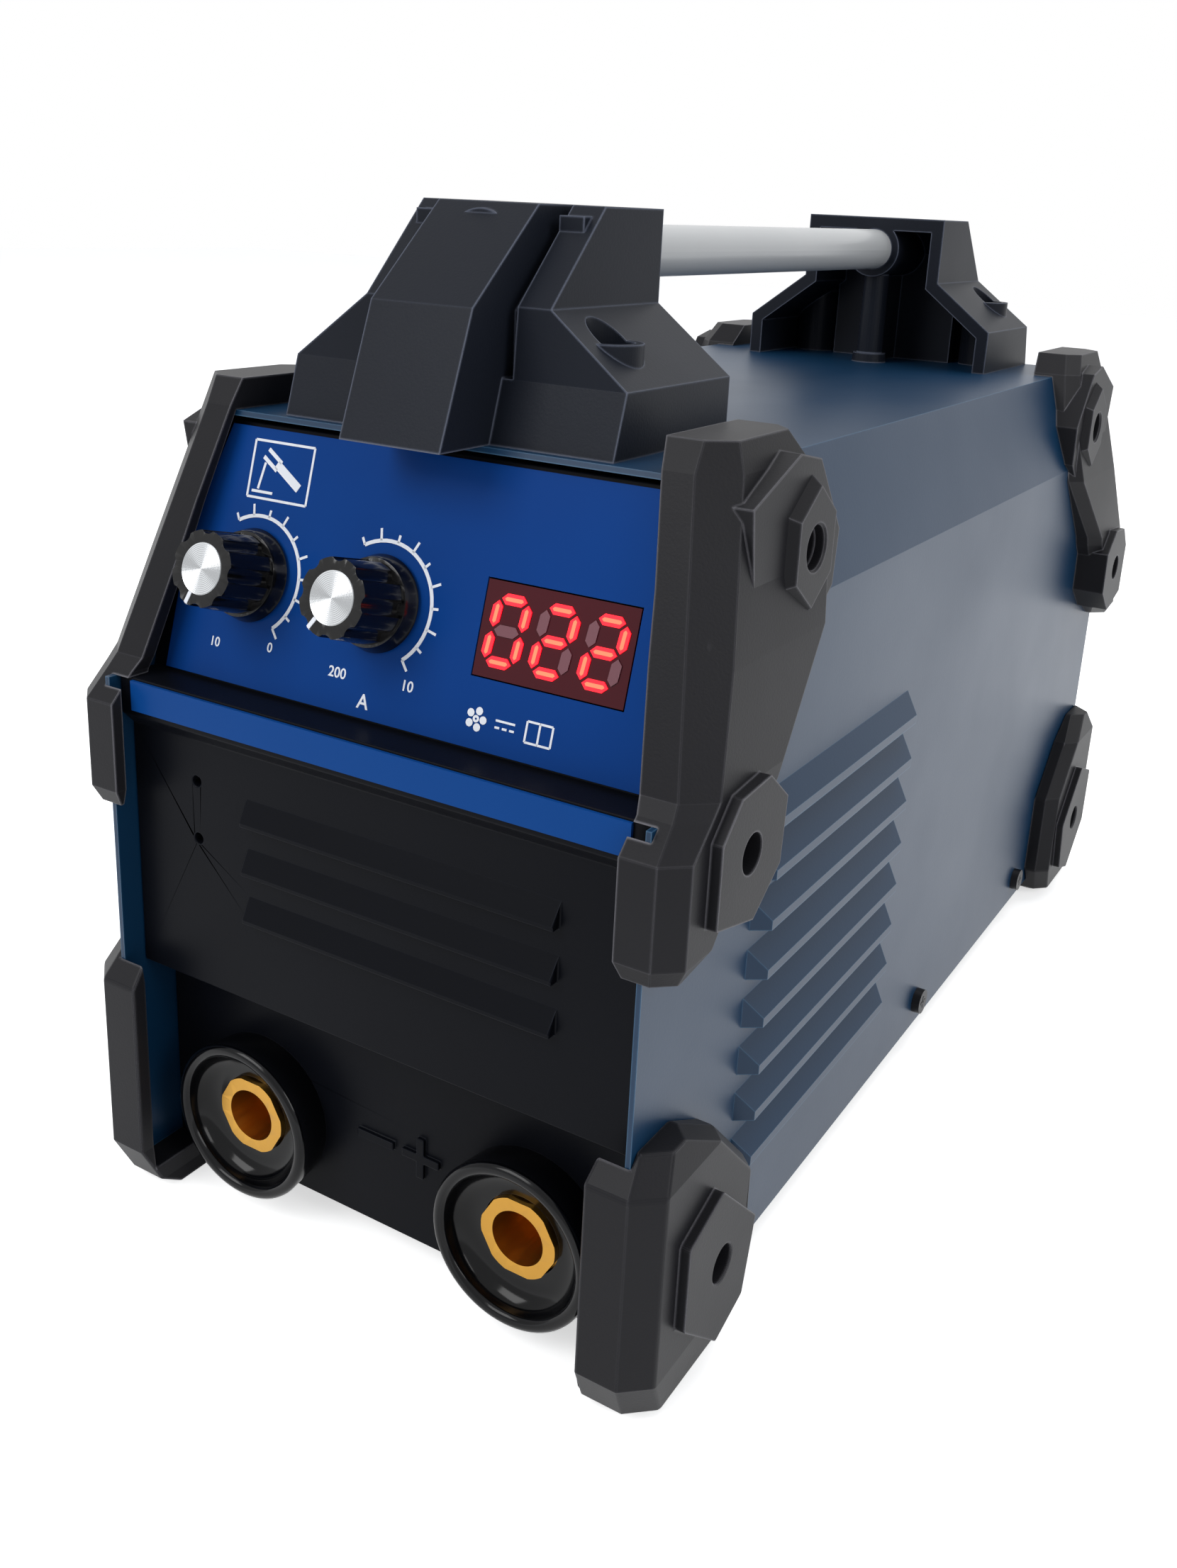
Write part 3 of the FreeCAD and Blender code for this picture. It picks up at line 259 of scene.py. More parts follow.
# Polycarbonate film, printed from behind: one even strong blue under a smooth skin.
OVERLAY_FILM = Finish("blue_polycarbonate_film", "0c3f86", "0a3474", 0.3, mirror=0.06)
# The trim strip's film: the same blue, a shade brighter and duller in its groove.
STRIP_FILM = Finish("bright_blue_polycarbonate_film", "0c4488", "0a3c7c", 0.34, mirror=0.06)
# ABS moulded in a spark-eroded tool: dull charcoal with a paler painted highlight along its corners. The
# texture of the real one, about 0.2 mm, is drawn coarser so that it shows.
GUARD_ABS = Finish("grey_moulded_abs", "1f1f22", "19191c", 0.4, mirror=0.1,
                   grain=Grain.MOULDED, grain_mm=0.55, bump=0.22, edge="77767c", edge_highlight_mm=0.8)
# The brackets' ABS: the same tool texture on a bluer slate grey, also drawn coarser, with a painted highlight
# along the edges.
BRACKET_ABS = Finish("slate_moulded_abs", "1a1e27", "15181f", 0.4, mirror=0.1,
                     grain=Grain.MOULDED, grain_mm=0.6, bump=0.2, edge="6a7080", edge_highlight_mm=0.8)
# Enamel stoved on a drawn tube: pale grey under a thin gloss, with faint lines along its length.
TUBE_ENAMEL = Finish("light_grey_stoved_enamel", "b4b6b7", "a9abad", 0.36, coat=0.15,
                     grain=Grain.DRAWN, grain_mm=0.8, bump=0.06)
# Polished phenolic resin: near black with small sharp highlights on the flutes.
KNOB_PHENOLIC = Finish("black_phenolic", "08080a", "050506", 0.18, mirror=0.35)
# Glass-filled nylon from a polished tool: wet-looking black, with a painted highlight on the rim.
SOCKET_NYLON = Finish("black_glazed_nylon", "050608", "040406", 0.14, mirror=0.2,
                      edge="2a2c33", edge_highlight_mm=0.4)
# Aluminium spun on a lathe: bright silver, and its rings draw the light out into two fans.
SPUN_ALUMINIUM = Finish("spun_aluminium", "bcbec0", "a8abae", 0.24, metallic=1.0)
# Turned brass: warm yellow with fine tool lines, drawn coarser than the real 0.1 mm.
SOCKET_BRASS = Finish("turned_brass", "c79a4a", "b58436", 0.3, metallic=1.0,
                      grain=Grain.DRAWN, grain_mm=0.5, bump=0.1)
# Drawn copper bar: salmon red and softly bright.
COPPER = Finish("drawn_copper", "b8703f", "a65f32", 0.32, metallic=1.0)
# Zinc plate on steel: cool grey metal with a faint grain, drawn coarser than the real one.
ZINC_STEEL = Finish("zinc_plated_steel", "8d8f92", "7b7d81", 0.36, metallic=1.0,
                    grain=Grain.DRAWN, grain_mm=0.4, bump=0.08)
# Blackened steel screws: dark heads with a dull metal glint.
BLACK_STEEL = Finish("blackened_screw_steel", "2a2a2d", "1d1d20", 0.4, metallic=0.8)
# Moulded nylon of the display's frame and the switch's body: plain satin black.
HOUSING_NYLON = Finish("black_moulded_nylon", "141214", "0f0d0f", 0.35)
# Smoked acrylic over the digits: a deep wine red that hides the unlit module.
DISPLAY_ACRYLIC = Finish("smoked_red_acrylic", "4a0c18", "3a0812", 0.18, mirror=0.2)
# Solder mask on glass epoxy: glossy green.
BOARD_MASK = Finish("green_solder_mask", "1d6a3c", "17592f", 0.35, coat=0.2)
# Extruded aluminium: pale metal with die lines along the fins.
SINK_ALUMINIUM = Finish("extruded_aluminium", "b4b6b9", "a3a5a8", 0.4, metallic=1.0,
                        grain=Grain.DRAWN, grain_mm=0.6, bump=0.15)
# Transfer-moulded epoxy of the power parts: matt black.
COMPONENT_EPOXY = Finish("black_epoxy", "1b1b1e", "141416", 0.5)
# Sintered ferrite: dark grey and slightly gritty.
FERRITE = Finish("sintered_ferrite", "2d2d30", "232326", 0.6, grain=Grain.MOULDED, grain_mm=0.4, bump=0.2)
# Polyester fan mouldings: even black with a low sheen.
FAN_POLYESTER = Finish("black_moulded_polyester", "151517", "101012", 0.45)
# Polycarbonate rocker: clean signal red with a gloss skin.
ROCKER_POLYCARBONATE = Finish("red_moulded_polycarbonate", "a3121a", "8c0e15", 0.28, coat=0.2)
# Screen ink: opaque, slightly raised, a clean off-white.
INK = Finish("white_screen_ink", "e6e9ef", "d9dde6", 0.5)
# Dyed epoxy over a light-emitting die: red that glows, with a paler orange core painted on as glare.
LIT_SEGMENT = Finish("lit_red_epoxy", "f80c20", "ff1026", 0.4, glow=1.6)
SEGMENT_GLARE = Finish("painted_segment_glare", "ff6a4a", "ff7a54", 0.4, glow=0.9)
# The same epoxy unlit: a dusty pink ghost behind the window.
DARK_SEGMENT = Finish("unlit_red_epoxy", "6c3a44", "60323c", 0.4)

SLOT_FINISHES = {
    "case_paint": CASE_PAINT, "black_paint": BLACK_PAINT, "control_film": OVERLAY_FILM,
    "guard_plastic": GUARD_ABS, "bracket_plastic": BRACKET_ABS, "tube_paint": TUBE_ENAMEL,
    "knob_plastic": KNOB_PHENOLIC, "cap_aluminium": SPUN_ALUMINIUM, "plated_steel": ZINC_STEEL,
    "socket_plastic": SOCKET_NYLON, "socket_brass": SOCKET_BRASS, "copper": COPPER,
    "display_black": HOUSING_NYLON, "display_red": DISPLAY_ACRYLIC, "circuit_board": BOARD_MASK,
    "heatsink_aluminium": SINK_ALUMINIUM, "component_black": COMPONENT_EPOXY, "ferrite": FERRITE,
    "fan_plastic": FAN_POLYESTER, "switch_plastic": HOUSING_NYLON, "rocker_red": ROCKER_POLYCARBONATE,
}
NODE_FINISHES = {"trim_strip": STRIP_FILM, "guard_screws": BLACK_STEEL, "cover_screws": BLACK_STEEL,
                 "handle_screws": BLACK_STEEL}
MADE: dict[str, bpy.types.Material] = {}


def material(finish: Finish) -> bpy.types.Material:
    """Give a finish's material, made once.

    Args:
        finish: The finish wanted.

    Returns:
        Its material.
    """
    if finish.name not in MADE:
        MADE[finish.name] = finish.build()
    return MADE[finish.name]


def node_finish(node: str, slots: dict[str, str]) -> Finish:
    """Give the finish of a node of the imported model.

    Args:
        node: The node's name.
        slots: The material slot of each node.

    Returns:
        Its own finish, or that of its slot.
    """
    return NODE_FINISHES.get(node, SLOT_FINISHES[slots[node]])


# ---------------------------------------------------------------- mesh helpers
def add_piece(name: str, shape: bmesh.types.BMesh, finish: Finish,
              body: str = "root") -> bpy.types.Object:
    """Turn a finished bmesh into a piece that rides on a body.

    Args:
        name: The piece's name.
        shape: The mesh, already in its place; it is freed.
        finish: The finish it wears.
        body: The body that it rides on.

    Returns:
        The new object.
    """
    mesh = bpy.data.meshes.new(name)
    shape.to_mesh(mesh)
    shape.free()
    piece = bpy.data.objects.new(name, mesh)
    bpy.context.scene.collection.objects.link(piece)
    mesh.materials.append(material(finish))
    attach(piece, body)
    LOG.info("made %s with %d faces", name, len(mesh.polygons))
    return piece


def add_bar(shape: bmesh.types.BMesh, size: tuple[float, float, float], place: Matrix) -> None:
    """Add a bar centred on a place.

    Args:
        shape: The mesh to add to.
        size: Width, depth and height.
        place: The bar's frame.
    """
    bmesh.ops.create_cube(shape, size=1.0, matrix=place @ Matrix.Diagonal((*size, 1.0)))


def lathe(shape: bmesh.types.BMesh, outline: list[tuple[float, float]], steps: int, closed: bool) -> None:
    """Turn an outline of radii and heights about Z.

    Args:
        shape: The empty mesh to fill.
        outline: The radius and height of each corner.
        steps: How many faces go round.
        closed: Whether the outline's last corner joins its first.
    """
    points = [shape.verts.new((radius, 0, height)) for radius, height in outline]
    ends = points[1:] + points[:1] if closed else points[1:]
    edges = [shape.edges.new(pair) for pair in zip(points, ends)]
    bmesh.ops.spin(shape, geom=points + edges, cent=(0, 0, 0), axis=(0, 0, 1), angle=math.tau, steps=steps,
                   use_merge=True)
    bmesh.ops.remove_doubles(shape, verts=shape.verts, dist=WELD)
    bmesh.ops.recalc_face_normals(shape, faces=shape.faces)


@dataclass(frozen=True)
class Ring:
    """A flat printed ring, or an arc of one, with a square section."""

    outer: float
    inner: float
    height: float
    start: float = 0.0
    sweep: float = 360.0
    step: float = 6.0
    fewest: int = 8

    def add_to(self, shape: bmesh.types.BMesh, place: Matrix) -> None:
        """Spin the ring's section, from start through sweep degrees.

        Args:
            shape: The mesh to add to.
            place: The ring's frame.
        """
        part = bmesh.new()
        section = ((self.inner, 0, 0), (self.outer, 0, 0), (self.outer, 0, self.height),
                   (self.inner, 0, self.height))
        corners = [part.verts.new(corner) for corner in section]
        profile = part.faces.new(corners)
        geometry = corners + list(profile.edges) + [profile]
        whole = self.sweep >= 360.0
        if whole:
            bmesh.ops.delete(part, geom=[profile], context="FACES_ONLY")
            geometry.pop()
        part.transform(Matrix.Rotation(math.radians(self.start), 4, "Z"))
        bmesh.ops.spin(part, geom=geometry, cent=(0, 0, 0), axis=(0, 0, 1), angle=math.radians(self.sweep),
                       steps=max(self.fewest, int(self.sweep / self.step)), use_merge=whole)
        bmesh.ops.recalc_face_normals(part, faces=part.faces)
        part.transform(place)
        mesh = bpy.data.meshes.new("ring")
        part.to_mesh(mesh)
        part.free()
        shape.from_mesh(mesh)
        bpy.data.meshes.remove(mesh)


# ---------------------------------------------------------------- rounded edges
@dataclass(frozen=True)
class SoftEdge:
    """The rounded edge that a moulding tool, a press or a paint film leaves on a piece."""

    node: str
    radius: float
    body: str = "root"
    rounded: bool = False
    crease: float = 28.0
    flat: float = 0.4
    merge: float = 0.01 * MM
    segments: int = 3

    def build(self, slots: dict[str, str]) -> None:
        """Stand a copy with rounded edges in the node's place.

        Args:
            slots: The material slot of each node.
        """
        shape = bmesh.new()
        shape.from_mesh(bpy.data.objects[self.node].data)
        bmesh.ops.remove_doubles(shape, verts=shape.verts, dist=self.merge)
        bmesh.ops.dissolve_limit(shape, angle_limit=math.radians(self.flat), verts=shape.verts,
                                 edges=shape.edges)
        bmesh.ops.triangulate(shape, faces=shape.faces, quad_method="BEAUTY", ngon_method="BEAUTY")
        for face in shape.faces:
            face.smooth = self.rounded
        piece = add_piece(self.node + "_moulding", shape, node_finish(self.node, slots),
                          self.body)
        if self.rounded:
            piece.data.set_sharp_from_angle(angle=math.radians(self.crease))
        bevel = piece.modifiers.new("rounded_edges", "BEVEL")
        bevel.width = self.radius
        bevel.segments = self.segments
        bevel.limit_method = "ANGLE"
        bevel.angle_limit = math.radians(self.crease)
        bevel.harden_normals = self.rounded
        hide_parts(self.node)


SOFT_EDGES = (
    [SoftEdge("handle_bracket_" + end, 1.5 * MM) for end in ENDS.values()]
    + [SoftEdge("%s_guard_%s_%s" % (kind, end, side), 0.6 * MM)
       for kind in ("corner", "foot") for end in ENDS.values() for side in SIDES.values()]
    + [SoftEdge("front_panel", 0.3 * MM), SoftEdge("rear_panel", 0.4 * MM)]
    + [SoftEdge("socket_insert_" + pole, 0.35 * MM, rounded=True) for pole in ("negative", "positive")]
    + [SoftEdge(control + "_knob", 0.5 * MM, control + "_control", rounded=True)
       for control in ("current", "arc_force")])


# ---------------------------------------------------------------- display
@dataclass
class ControlFace:
    """The leaning control panel's frame: X across, Y up the slope, Z out of it."""

    panel_front: float = 13 * MM
    setback: float = 16 * MM
    rise: float = 56 * MM
    knee: float = 133 * MM
    case_front: float = -170 * MM
    label_wall: float = 0.8 * MM
    control_height: float = 24.9 * MM

    def frame(self, across: float, up: float, out: float = 0.0) -> Matrix:
        """Give a frame that stands on the label.

        Args:
            across: Distance right of the middle.
            up: Distance up the slope from its foot.
            out: Distance out of the label's face.

        Returns:
            The frame's matrix.
        """
        lean = math.atan2(self.setback, self.rise)
        foot = at(0, self.case_front + self.panel_front, self.knee)
        return foot @ Matrix.Rotation(math.pi / 2 - lean, 4, "X") @ at(across, up, self.label_wall + out)


SEGMENTS = {"0": "abcdef", "1": "bc", "2": "abdeg", "3": "abcdg", "4": "bcfg", "5": "acdfg",
            "6": "acdefg", "7": "abc", "8": "abcdefg", "9": "abcdfg"}


@dataclass
class Display:
    """Three seven-segment digits behind the smoked window."""

    face: ControlFace
    middle: float = 36.1 * MM
    reading: str = "022"
    digit_width: float = 6.9 * MM
    digit_height: float = 12.8 * MM
    pitch: float = 11.2 * MM
    stroke: float = 2.25 * MM
    mitre_share: float = 0.45
    slant: float = 0.09
    relief: float = 0.25 * MM
    # The painted glare core: how much narrower than the bar, and how far out of the window.
    glare_core_shrink: float = 1.45 * MM
    glare_core_lift: float = 0.05 * MM

    def segment(self, shape: bmesh.types.BMesh, name: str, place: Matrix, shrink: float = 0.0,
                lift: float = 0.0) -> None:
        """Add one segment: a long bar with pointed ends.

        Args:
            shape: The mesh to add to.
            name: The segment's letter, a to g.
            place: The digit's frame, at its centre.
            shrink: How much narrower than the full stroke.
            lift: How far out of the window.
        """
        half_w, half_h = self.digit_width / 2, self.digit_height / 2
        places = {"a": (0, half_h, 0), "g": (0, 0, 0), "d": (0, -half_h, 0),
                  "b": (half_w, half_h / 2, 1), "c": (half_w, -half_h / 2, 1),
                  "e": (-half_w, -half_h / 2, 1), "f": (-half_w, half_h / 2, 1)}
        x, y, upright = places[name]
        length = (half_h if upright else self.digit_width) - self.mitre_share * self.stroke - shrink
        width = self.stroke - shrink
        slant = Matrix.Identity(4)
        slant[0][1] = self.slant
        turn = Matrix.Rotation(math.pi / 2 if upright else 0.0, 4, "Z")
        verts = bmesh.ops.create_circle(shape, cap_ends=True, segments=6, radius=0.5)["verts"]
        for vert in verts:
            # The circle starts on Y, so its two corners on Y become the bar's points.
            pointed = abs(vert.co.x) < 0.1
            reach = length / 2 if pointed else (length - width) / 2
            half_width = 0 if pointed else math.copysign(width / 2, vert.co.x)
            vert.co = Vector((math.copysign(reach, vert.co.y), half_width, 0))
        faces = list({face for vert in verts for face in vert.link_faces})
        grown = bmesh.ops.extrude_face_region(shape, geom=faces)["geom"]
        lifted = [vert for vert in grown if isinstance(vert, bmesh.types.BMVert)]
        bmesh.ops.translate(shape, verts=lifted, vec=(0, 0, self.relief))
        bmesh.ops.transform(shape, matrix=place @ slant @ at(x, y, lift) @ turn,
                            verts=list(set(verts) | set(lifted)))

    def build(self) -> None:
        """Make the lit segments, their painted glare cores and the unlit ones."""
        lit, glare_core, unlit = bmesh.new(), bmesh.new(), bmesh.new()
        for index, digit in enumerate(self.reading):
            across = self.middle + (index - (len(self.reading) - 1) / 2) * self.pitch
            place = self.face.frame(across, self.face.control_height)
            for name in "abcdefg":
                if name in SEGMENTS[digit]:
                    self.segment(lit, name, place)
                    self.segment(glare_core, name, place, self.glare_core_shrink, self.glare_core_lift)
                else:
                    self.segment(unlit, name, place)
        for name, shape, finish in (("lit", lit, LIT_SEGMENT), ("glare_core", glare_core, SEGMENT_GLARE),
                                    ("unlit", unlit, DARK_SEGMENT)):
            bmesh.ops.recalc_face_normals(shape, faces=shape.faces)
            add_piece("display_segments_" + name, shape, finish)


# ---------------------------------------------------------------- dials
@dataclass
class Dial:
    """The printed scale round a knob, the knob's own pointer line and its cap's rings."""

    face: ControlFace
    control: str
    middle: float
    pointer: float
    radius: float = 13.2 * MM
    ink: float = 0.12 * MM
    arc_width: float = 0.8 * MM
    start: float = -52.0
    sweep: float = 172.0
    ticks: int = 10
    long_tick: float = 2.6 * MM
    short_tick: float = 1.7 * MM
    tick_width: float = 0.55 * MM
    knob_gap: float = 0.8 * MM
    knob_height: float = 15 * MM
    line_width: float = 0.9 * MM
    top_reach: float = 6.9 * MM
    top_length: float = 2.6 * MM
    top_relief: float = 0.25 * MM
    top_lift: float = 0.05 * MM
    side_reach: float = 8.62 * MM
    side_length: float = 14 * MM
    side_relief: float = 0.3 * MM
    side_lift: float = 0.4 * MM
    side_lean: float = -2.7
    cap_radius: float = 5.5 * MM
    cap_grooves: int = 14
    cap_relief: float = 0.1 * MM
    groove_floor: float = 0.35
    cap_steps: int = 48

    def _stand(self, out: float = 0.0) -> Matrix:
        """Give the frame on the knob's axis, so far out of the label."""
        return self.face.frame(self.middle, self.face.control_height, out)

    def build(self) -> None:
        """Make the scale, the pointer and the cap's rings."""
        self._scale()
        self._pointer()
        self._cap_rings()

    def _scale(self) -> None:
        """Print the arc and its ticks, long and short in turn."""
        scale = bmesh.new()
        place = self._stand()
        half = self.arc_width / 2
        Ring(self.radius + half, self.radius - half, self.ink, self.start, self.sweep).add_to(scale, place)
        for index in range(self.ticks):
            turn = Matrix.Rotation(math.radians(self.start + self.sweep * index / (self.ticks - 1)), 4, "Z")
            length = self.short_tick if index % 2 else self.long_tick
            add_bar(scale, (length, self.tick_width, self.ink),
                    place @ turn @ at(self.radius + length / 2, 0, self.ink / 2))
        add_piece(self.control + "_dial_scale", scale, INK)

    def _pointer(self) -> None:
        """Print the line that runs up the skirt and over the knob's top."""
        pointer = bmesh.new()
        turn = Matrix.Rotation(math.radians(self.pointer), 4, "Z")
        top = self._stand(self.knob_gap + self.knob_height)
        add_bar(pointer, (self.top_length, self.line_width, self.top_relief),
                top @ turn @ at(self.top_reach, 0, self.top_lift))
        side = self._stand(self.knob_gap + self.knob_height / 2)
        lean = Matrix.Rotation(math.radians(self.side_lean), 4, "Y")
        add_bar(pointer, (self.side_relief, self.line_width, self.side_length),
                side @ turn @ at(self.side_reach, 0, self.side_lift) @ lean)
        add_piece(self.control + "_dial_pointer", pointer, INK, self.control + "_control")

    def _cap_rings(self) -> None:
        """Turn fine rings into the metal cap's face."""
        rings = bmesh.new()
        groove = self.cap_radius / self.cap_grooves
        outline = [(0.0, self.cap_relief)]
        for index in range(self.cap_grooves):
            outline.append(((index + 0.5) * groove, self.groove_floor * self.cap_relief))
            outline.append(((index + 1) * groove, self.cap_relief))
        outline.append((self.cap_radius, 0.0))
        lathe(rings, outline, self.cap_steps, closed=False)
        rings.transform(self._stand(self.knob_gap + self.knob_height))
        add_piece(self.control + "_dial_cap_rings", rings, SPUN_ALUMINIUM,
                  self.control + "_control")


# ---------------------------------------------------------------- printed marks
@dataclass
class HolderIcon:
    """A framed icon of a plain electrode and its clamp."""

    face: ControlFace
    across: float = -40 * MM
    up: float = 48.2 * MM
    ink: float = 0.1 * MM
    wide: float = 17 * MM
    high: float = 12.6 * MM
    line: float = 0.55 * MM
    clamp_tilt: float = -32.0
    grip: tuple[float, float] = mm(8.5, 2.0)
    grip_place: tuple[float, float] = mm(2.2, 0.6)
    jaw: tuple[float, float] = mm(5.0, 0.9)
    upper_jaw_place: tuple[float, float] = mm(-3.6, 1.6)
    lower_jaw_place: tuple[float, float] = mm(-3.6, -0.5)
    rod: tuple[float, float] = mm(6.0, 0.6)
    rod_place: tuple[float, float] = mm(-5.2, -1.4)
    rod_tilt: float = 80.0
    work_place: tuple[float, float] = mm(-4.4, -4.9)

    def build(self) -> None:
        """Draw the frame, the clamp's grip and jaws, the electrode and the work under it."""
        shape = bmesh.new()
        place = self.face.frame(self.across, self.up, self.ink / 2)
        for side in (-1, 1):
            add_bar(shape, (self.wide, self.line, self.ink), place @ at(0, side * self.high / 2))
            add_bar(shape, (self.line, self.high, self.ink), place @ at(side * self.wide / 2, 0))
        clamp = place @ Matrix.Rotation(math.radians(self.clamp_tilt), 4, "Z")
        upright = Matrix.Rotation(math.radians(self.rod_tilt), 4, "Z")
        for size, stand in ((self.grip, clamp @ at(*self.grip_place)),
                            (self.jaw, clamp @ at(*self.upper_jaw_place)),
                            (self.jaw, clamp @ at(*self.lower_jaw_place)),
                            (self.rod, place @ at(*self.rod_place) @ upright),
                            (self.rod, place @ at(*self.work_place))):
            add_bar(shape, (*size, self.ink), stand)
        add_piece("electrode_icon", shape, INK)


@dataclass
class ServiceIcons:
    """The row of small icons below the display: a fan wheel, a direct-current sign and a booklet."""

    face: ControlFace
    up: float = 6.6 * MM
    ink: float = 0.1 * MM
    line: float = 0.45 * MM
    fan_across: float = 21.5 * MM
    hub_outer: float = 0.75 * MM
    hub_inner: float = 0.25 * MM
    blades: int = 5
    blade_sides: int = 12
    blade_radius: float = 0.85 * MM
    blade_reach: float = 1.75 * MM
    sign_across: float = 28.5 * MM
    sign_length: float = 4.6 * MM
    sign_rise: float = 0.7 * MM
    dash_length: float = 1.1 * MM
    dash_pitch: float = 1.75 * MM
    book_across: float = 36.5 * MM
    book_height: float = 4.2 * MM
    page_width: float = 3.0 * MM
    page_line: float = 2.9 * MM

    def build(self) -> None:
        """Draw the three icons in one piece."""
        shape = bmesh.new()
        for draw, across in ((self._fan_wheel, self.fan_across), (self._direct_current, self.sign_across),
                             (self._booklet, self.book_across)):
            draw(shape, self.face.frame(across, self.up, self.ink / 2))
        add_piece("service_icons", shape, INK)

    def _fan_wheel(self, shape: bmesh.types.BMesh, place: Matrix) -> None:
        """Draw a hub with round blades.

        Args:
            shape: The mesh to add to.
            place: The icon's frame.
        """
        Ring(self.hub_outer, self.hub_inner, self.ink).add_to(shape, place @ at(0, 0, -self.ink / 2))
        for index in range(self.blades):
            turn = Matrix.Rotation(math.tau * index / self.blades, 4, "Z")
            blade = bmesh.ops.create_circle(shape, cap_ends=True, segments=self.blade_sides,
                                            radius=self.blade_radius)
            bmesh.ops.transform(shape, matrix=place @ turn @ at(self.blade_reach, 0, self.ink / 2),
                                verts=blade["verts"])

    def _direct_current(self, shape: bmesh.types.BMesh, place: Matrix) -> None:
        """Draw a bar over three dashes.

        Args:
            shape: The mesh to add to.
            place: The icon's frame.
        """
        add_bar(shape, (self.sign_length, self.line, self.ink), place @ at(0, self.sign_rise))
        for index in (-1, 0, 1):
            add_bar(shape, (self.dash_length, self.line, self.ink),
                    place @ at(index * self.dash_pitch, -self.sign_rise))

    def _booklet(self, shape: bmesh.types.BMesh, place: Matrix) -> None:
        """Draw an open book of two pages.

        Args:
            shape: The mesh to add to.
            place: The icon's frame.
        """
        for side in (-1, 0, 1):
            add_bar(shape, (self.line, self.book_height, self.ink), place @ at(side * self.page_width, 0))
            for edge in (-1, 1) if side else ():
                add_bar(shape, (self.page_line, self.line, self.ink),
                        place @ at(side * self.page_width / 2, edge * self.book_height / 2))


@dataclass
class PrintedSign:
    """A plain number, or the letter of a unit, printed on the slope."""

    face: ControlFace
    name: str
    words: str
    height: float
    across: float
    up: float
    ink: float = 0.1 * MM
    weight: float = 0.012

    def build(self) -> None:
        """Print the sign, with its middle at its place on the slope."""
        curve = bpy.data.curves.new(self.name, "FONT")
        curve.body = self.words
        curve.size = self.height
        curve.align_x, curve.align_y = "CENTER", "CENTER"
        curve.extrude = self.ink / 2
        curve.offset = self.weight * self.height
        holder = bpy.data.objects.new(self.name, curve)
        bpy.context.scene.collection.objects.link(holder)
        bpy.context.view_layer.update()
        mesh = bpy.data.meshes.new_from_object(holder)
        bpy.data.objects.remove(holder)
        shape = bmesh.new()
        shape.from_mesh(mesh)
        bpy.data.meshes.remove(mesh)
        bmesh.ops.remove_doubles(shape, verts=shape.verts, dist=WELD)
        shape.transform(self.face.frame(self.across, self.up, self.ink / 2))
        add_piece(self.name, shape, INK)


# Name, words, height, place across and place up, in millimetres.
PRINTED_SIGNS = (
    ("arc_force_low", "0", 3.0, -34.5, 10.2),
    ("arc_force_high", "10", 3.0, -50.5, 8.6),
    ("current_low", "10", 3.2, 3.5, 9.4),
    ("current_high", "200", 3.2, -15.0, 8.6),
    ("current_unit", "A", 4.4, -7.0, 3.9),
)


# ---------------------------------------------------------------- sockets, guards, brackets and screws
@dataclass
class SocketCollar:
    """The glossy cup round an output socket, turned with a rounded rim."""

    pole: str
    side: int
    apart: float = 38.7 * MM
    up: float = 25.7 * MM
    face: float = -155 * MM
    reach: float = 10 * MM
    outer: float = 20 * MM
    bore: float = 9.65 * MM
    body: float = 14 * MM
    depth: float = 6.5 * MM
    floor: float = 6.0 * MM
    seat: float = 1.5 * MM
    heel: float = 1.0 * MM
    rim: float = 3.2 * MM
    rim_rise: float = 1.44 * MM
    curve_steps: int = 6
    round_steps: int = 72
    crease: float = 40.0

    def build(self) -> None:
        """Spin the collar's section, with the inside as a quarter of an ellipse."""
        back = self.reach + self.depth
        section = [(self.bore, back), (self.body, back), (self.body, self.reach),
                   (self.outer - self.heel, self.reach), (self.outer, self.rim_rise)]
        for step in range(1, self.curve_steps):
            turn = math.pi * step / self.curve_steps
            section.append((self.outer - self.rim / 2 * (1 - math.cos(turn)),
                            self.rim_rise * (1 - math.sin(turn))))
        lip = self.outer - self.rim
        for step in range(self.curve_steps + 1):
            turn = math.pi / 2 * step / self.curve_steps
            section.append((lip - (lip - self.bore - self.seat) * (1 - math.cos(turn)),
                            self.rim_rise + (self.floor - self.rim_rise) * math.sin(turn)))
        section.append((self.bore, self.floor))
        shape = bmesh.new()
        lathe(shape, [(radius, -deep) for radius, deep in section], self.round_steps, closed=True)
        for face in shape.faces:
            face.smooth = True
        shape.transform(at(self.side * self.apart, self.face - self.reach, self.up)
                        @ Matrix.Rotation(math.pi / 2, 4, "X"))
        piece = add_piece("collar_" + self.pole, shape, SOCKET_NYLON)
        piece.data.set_sharp_from_angle(angle=math.radians(self.crease))
        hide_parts("socket_collar_" + self.pole)


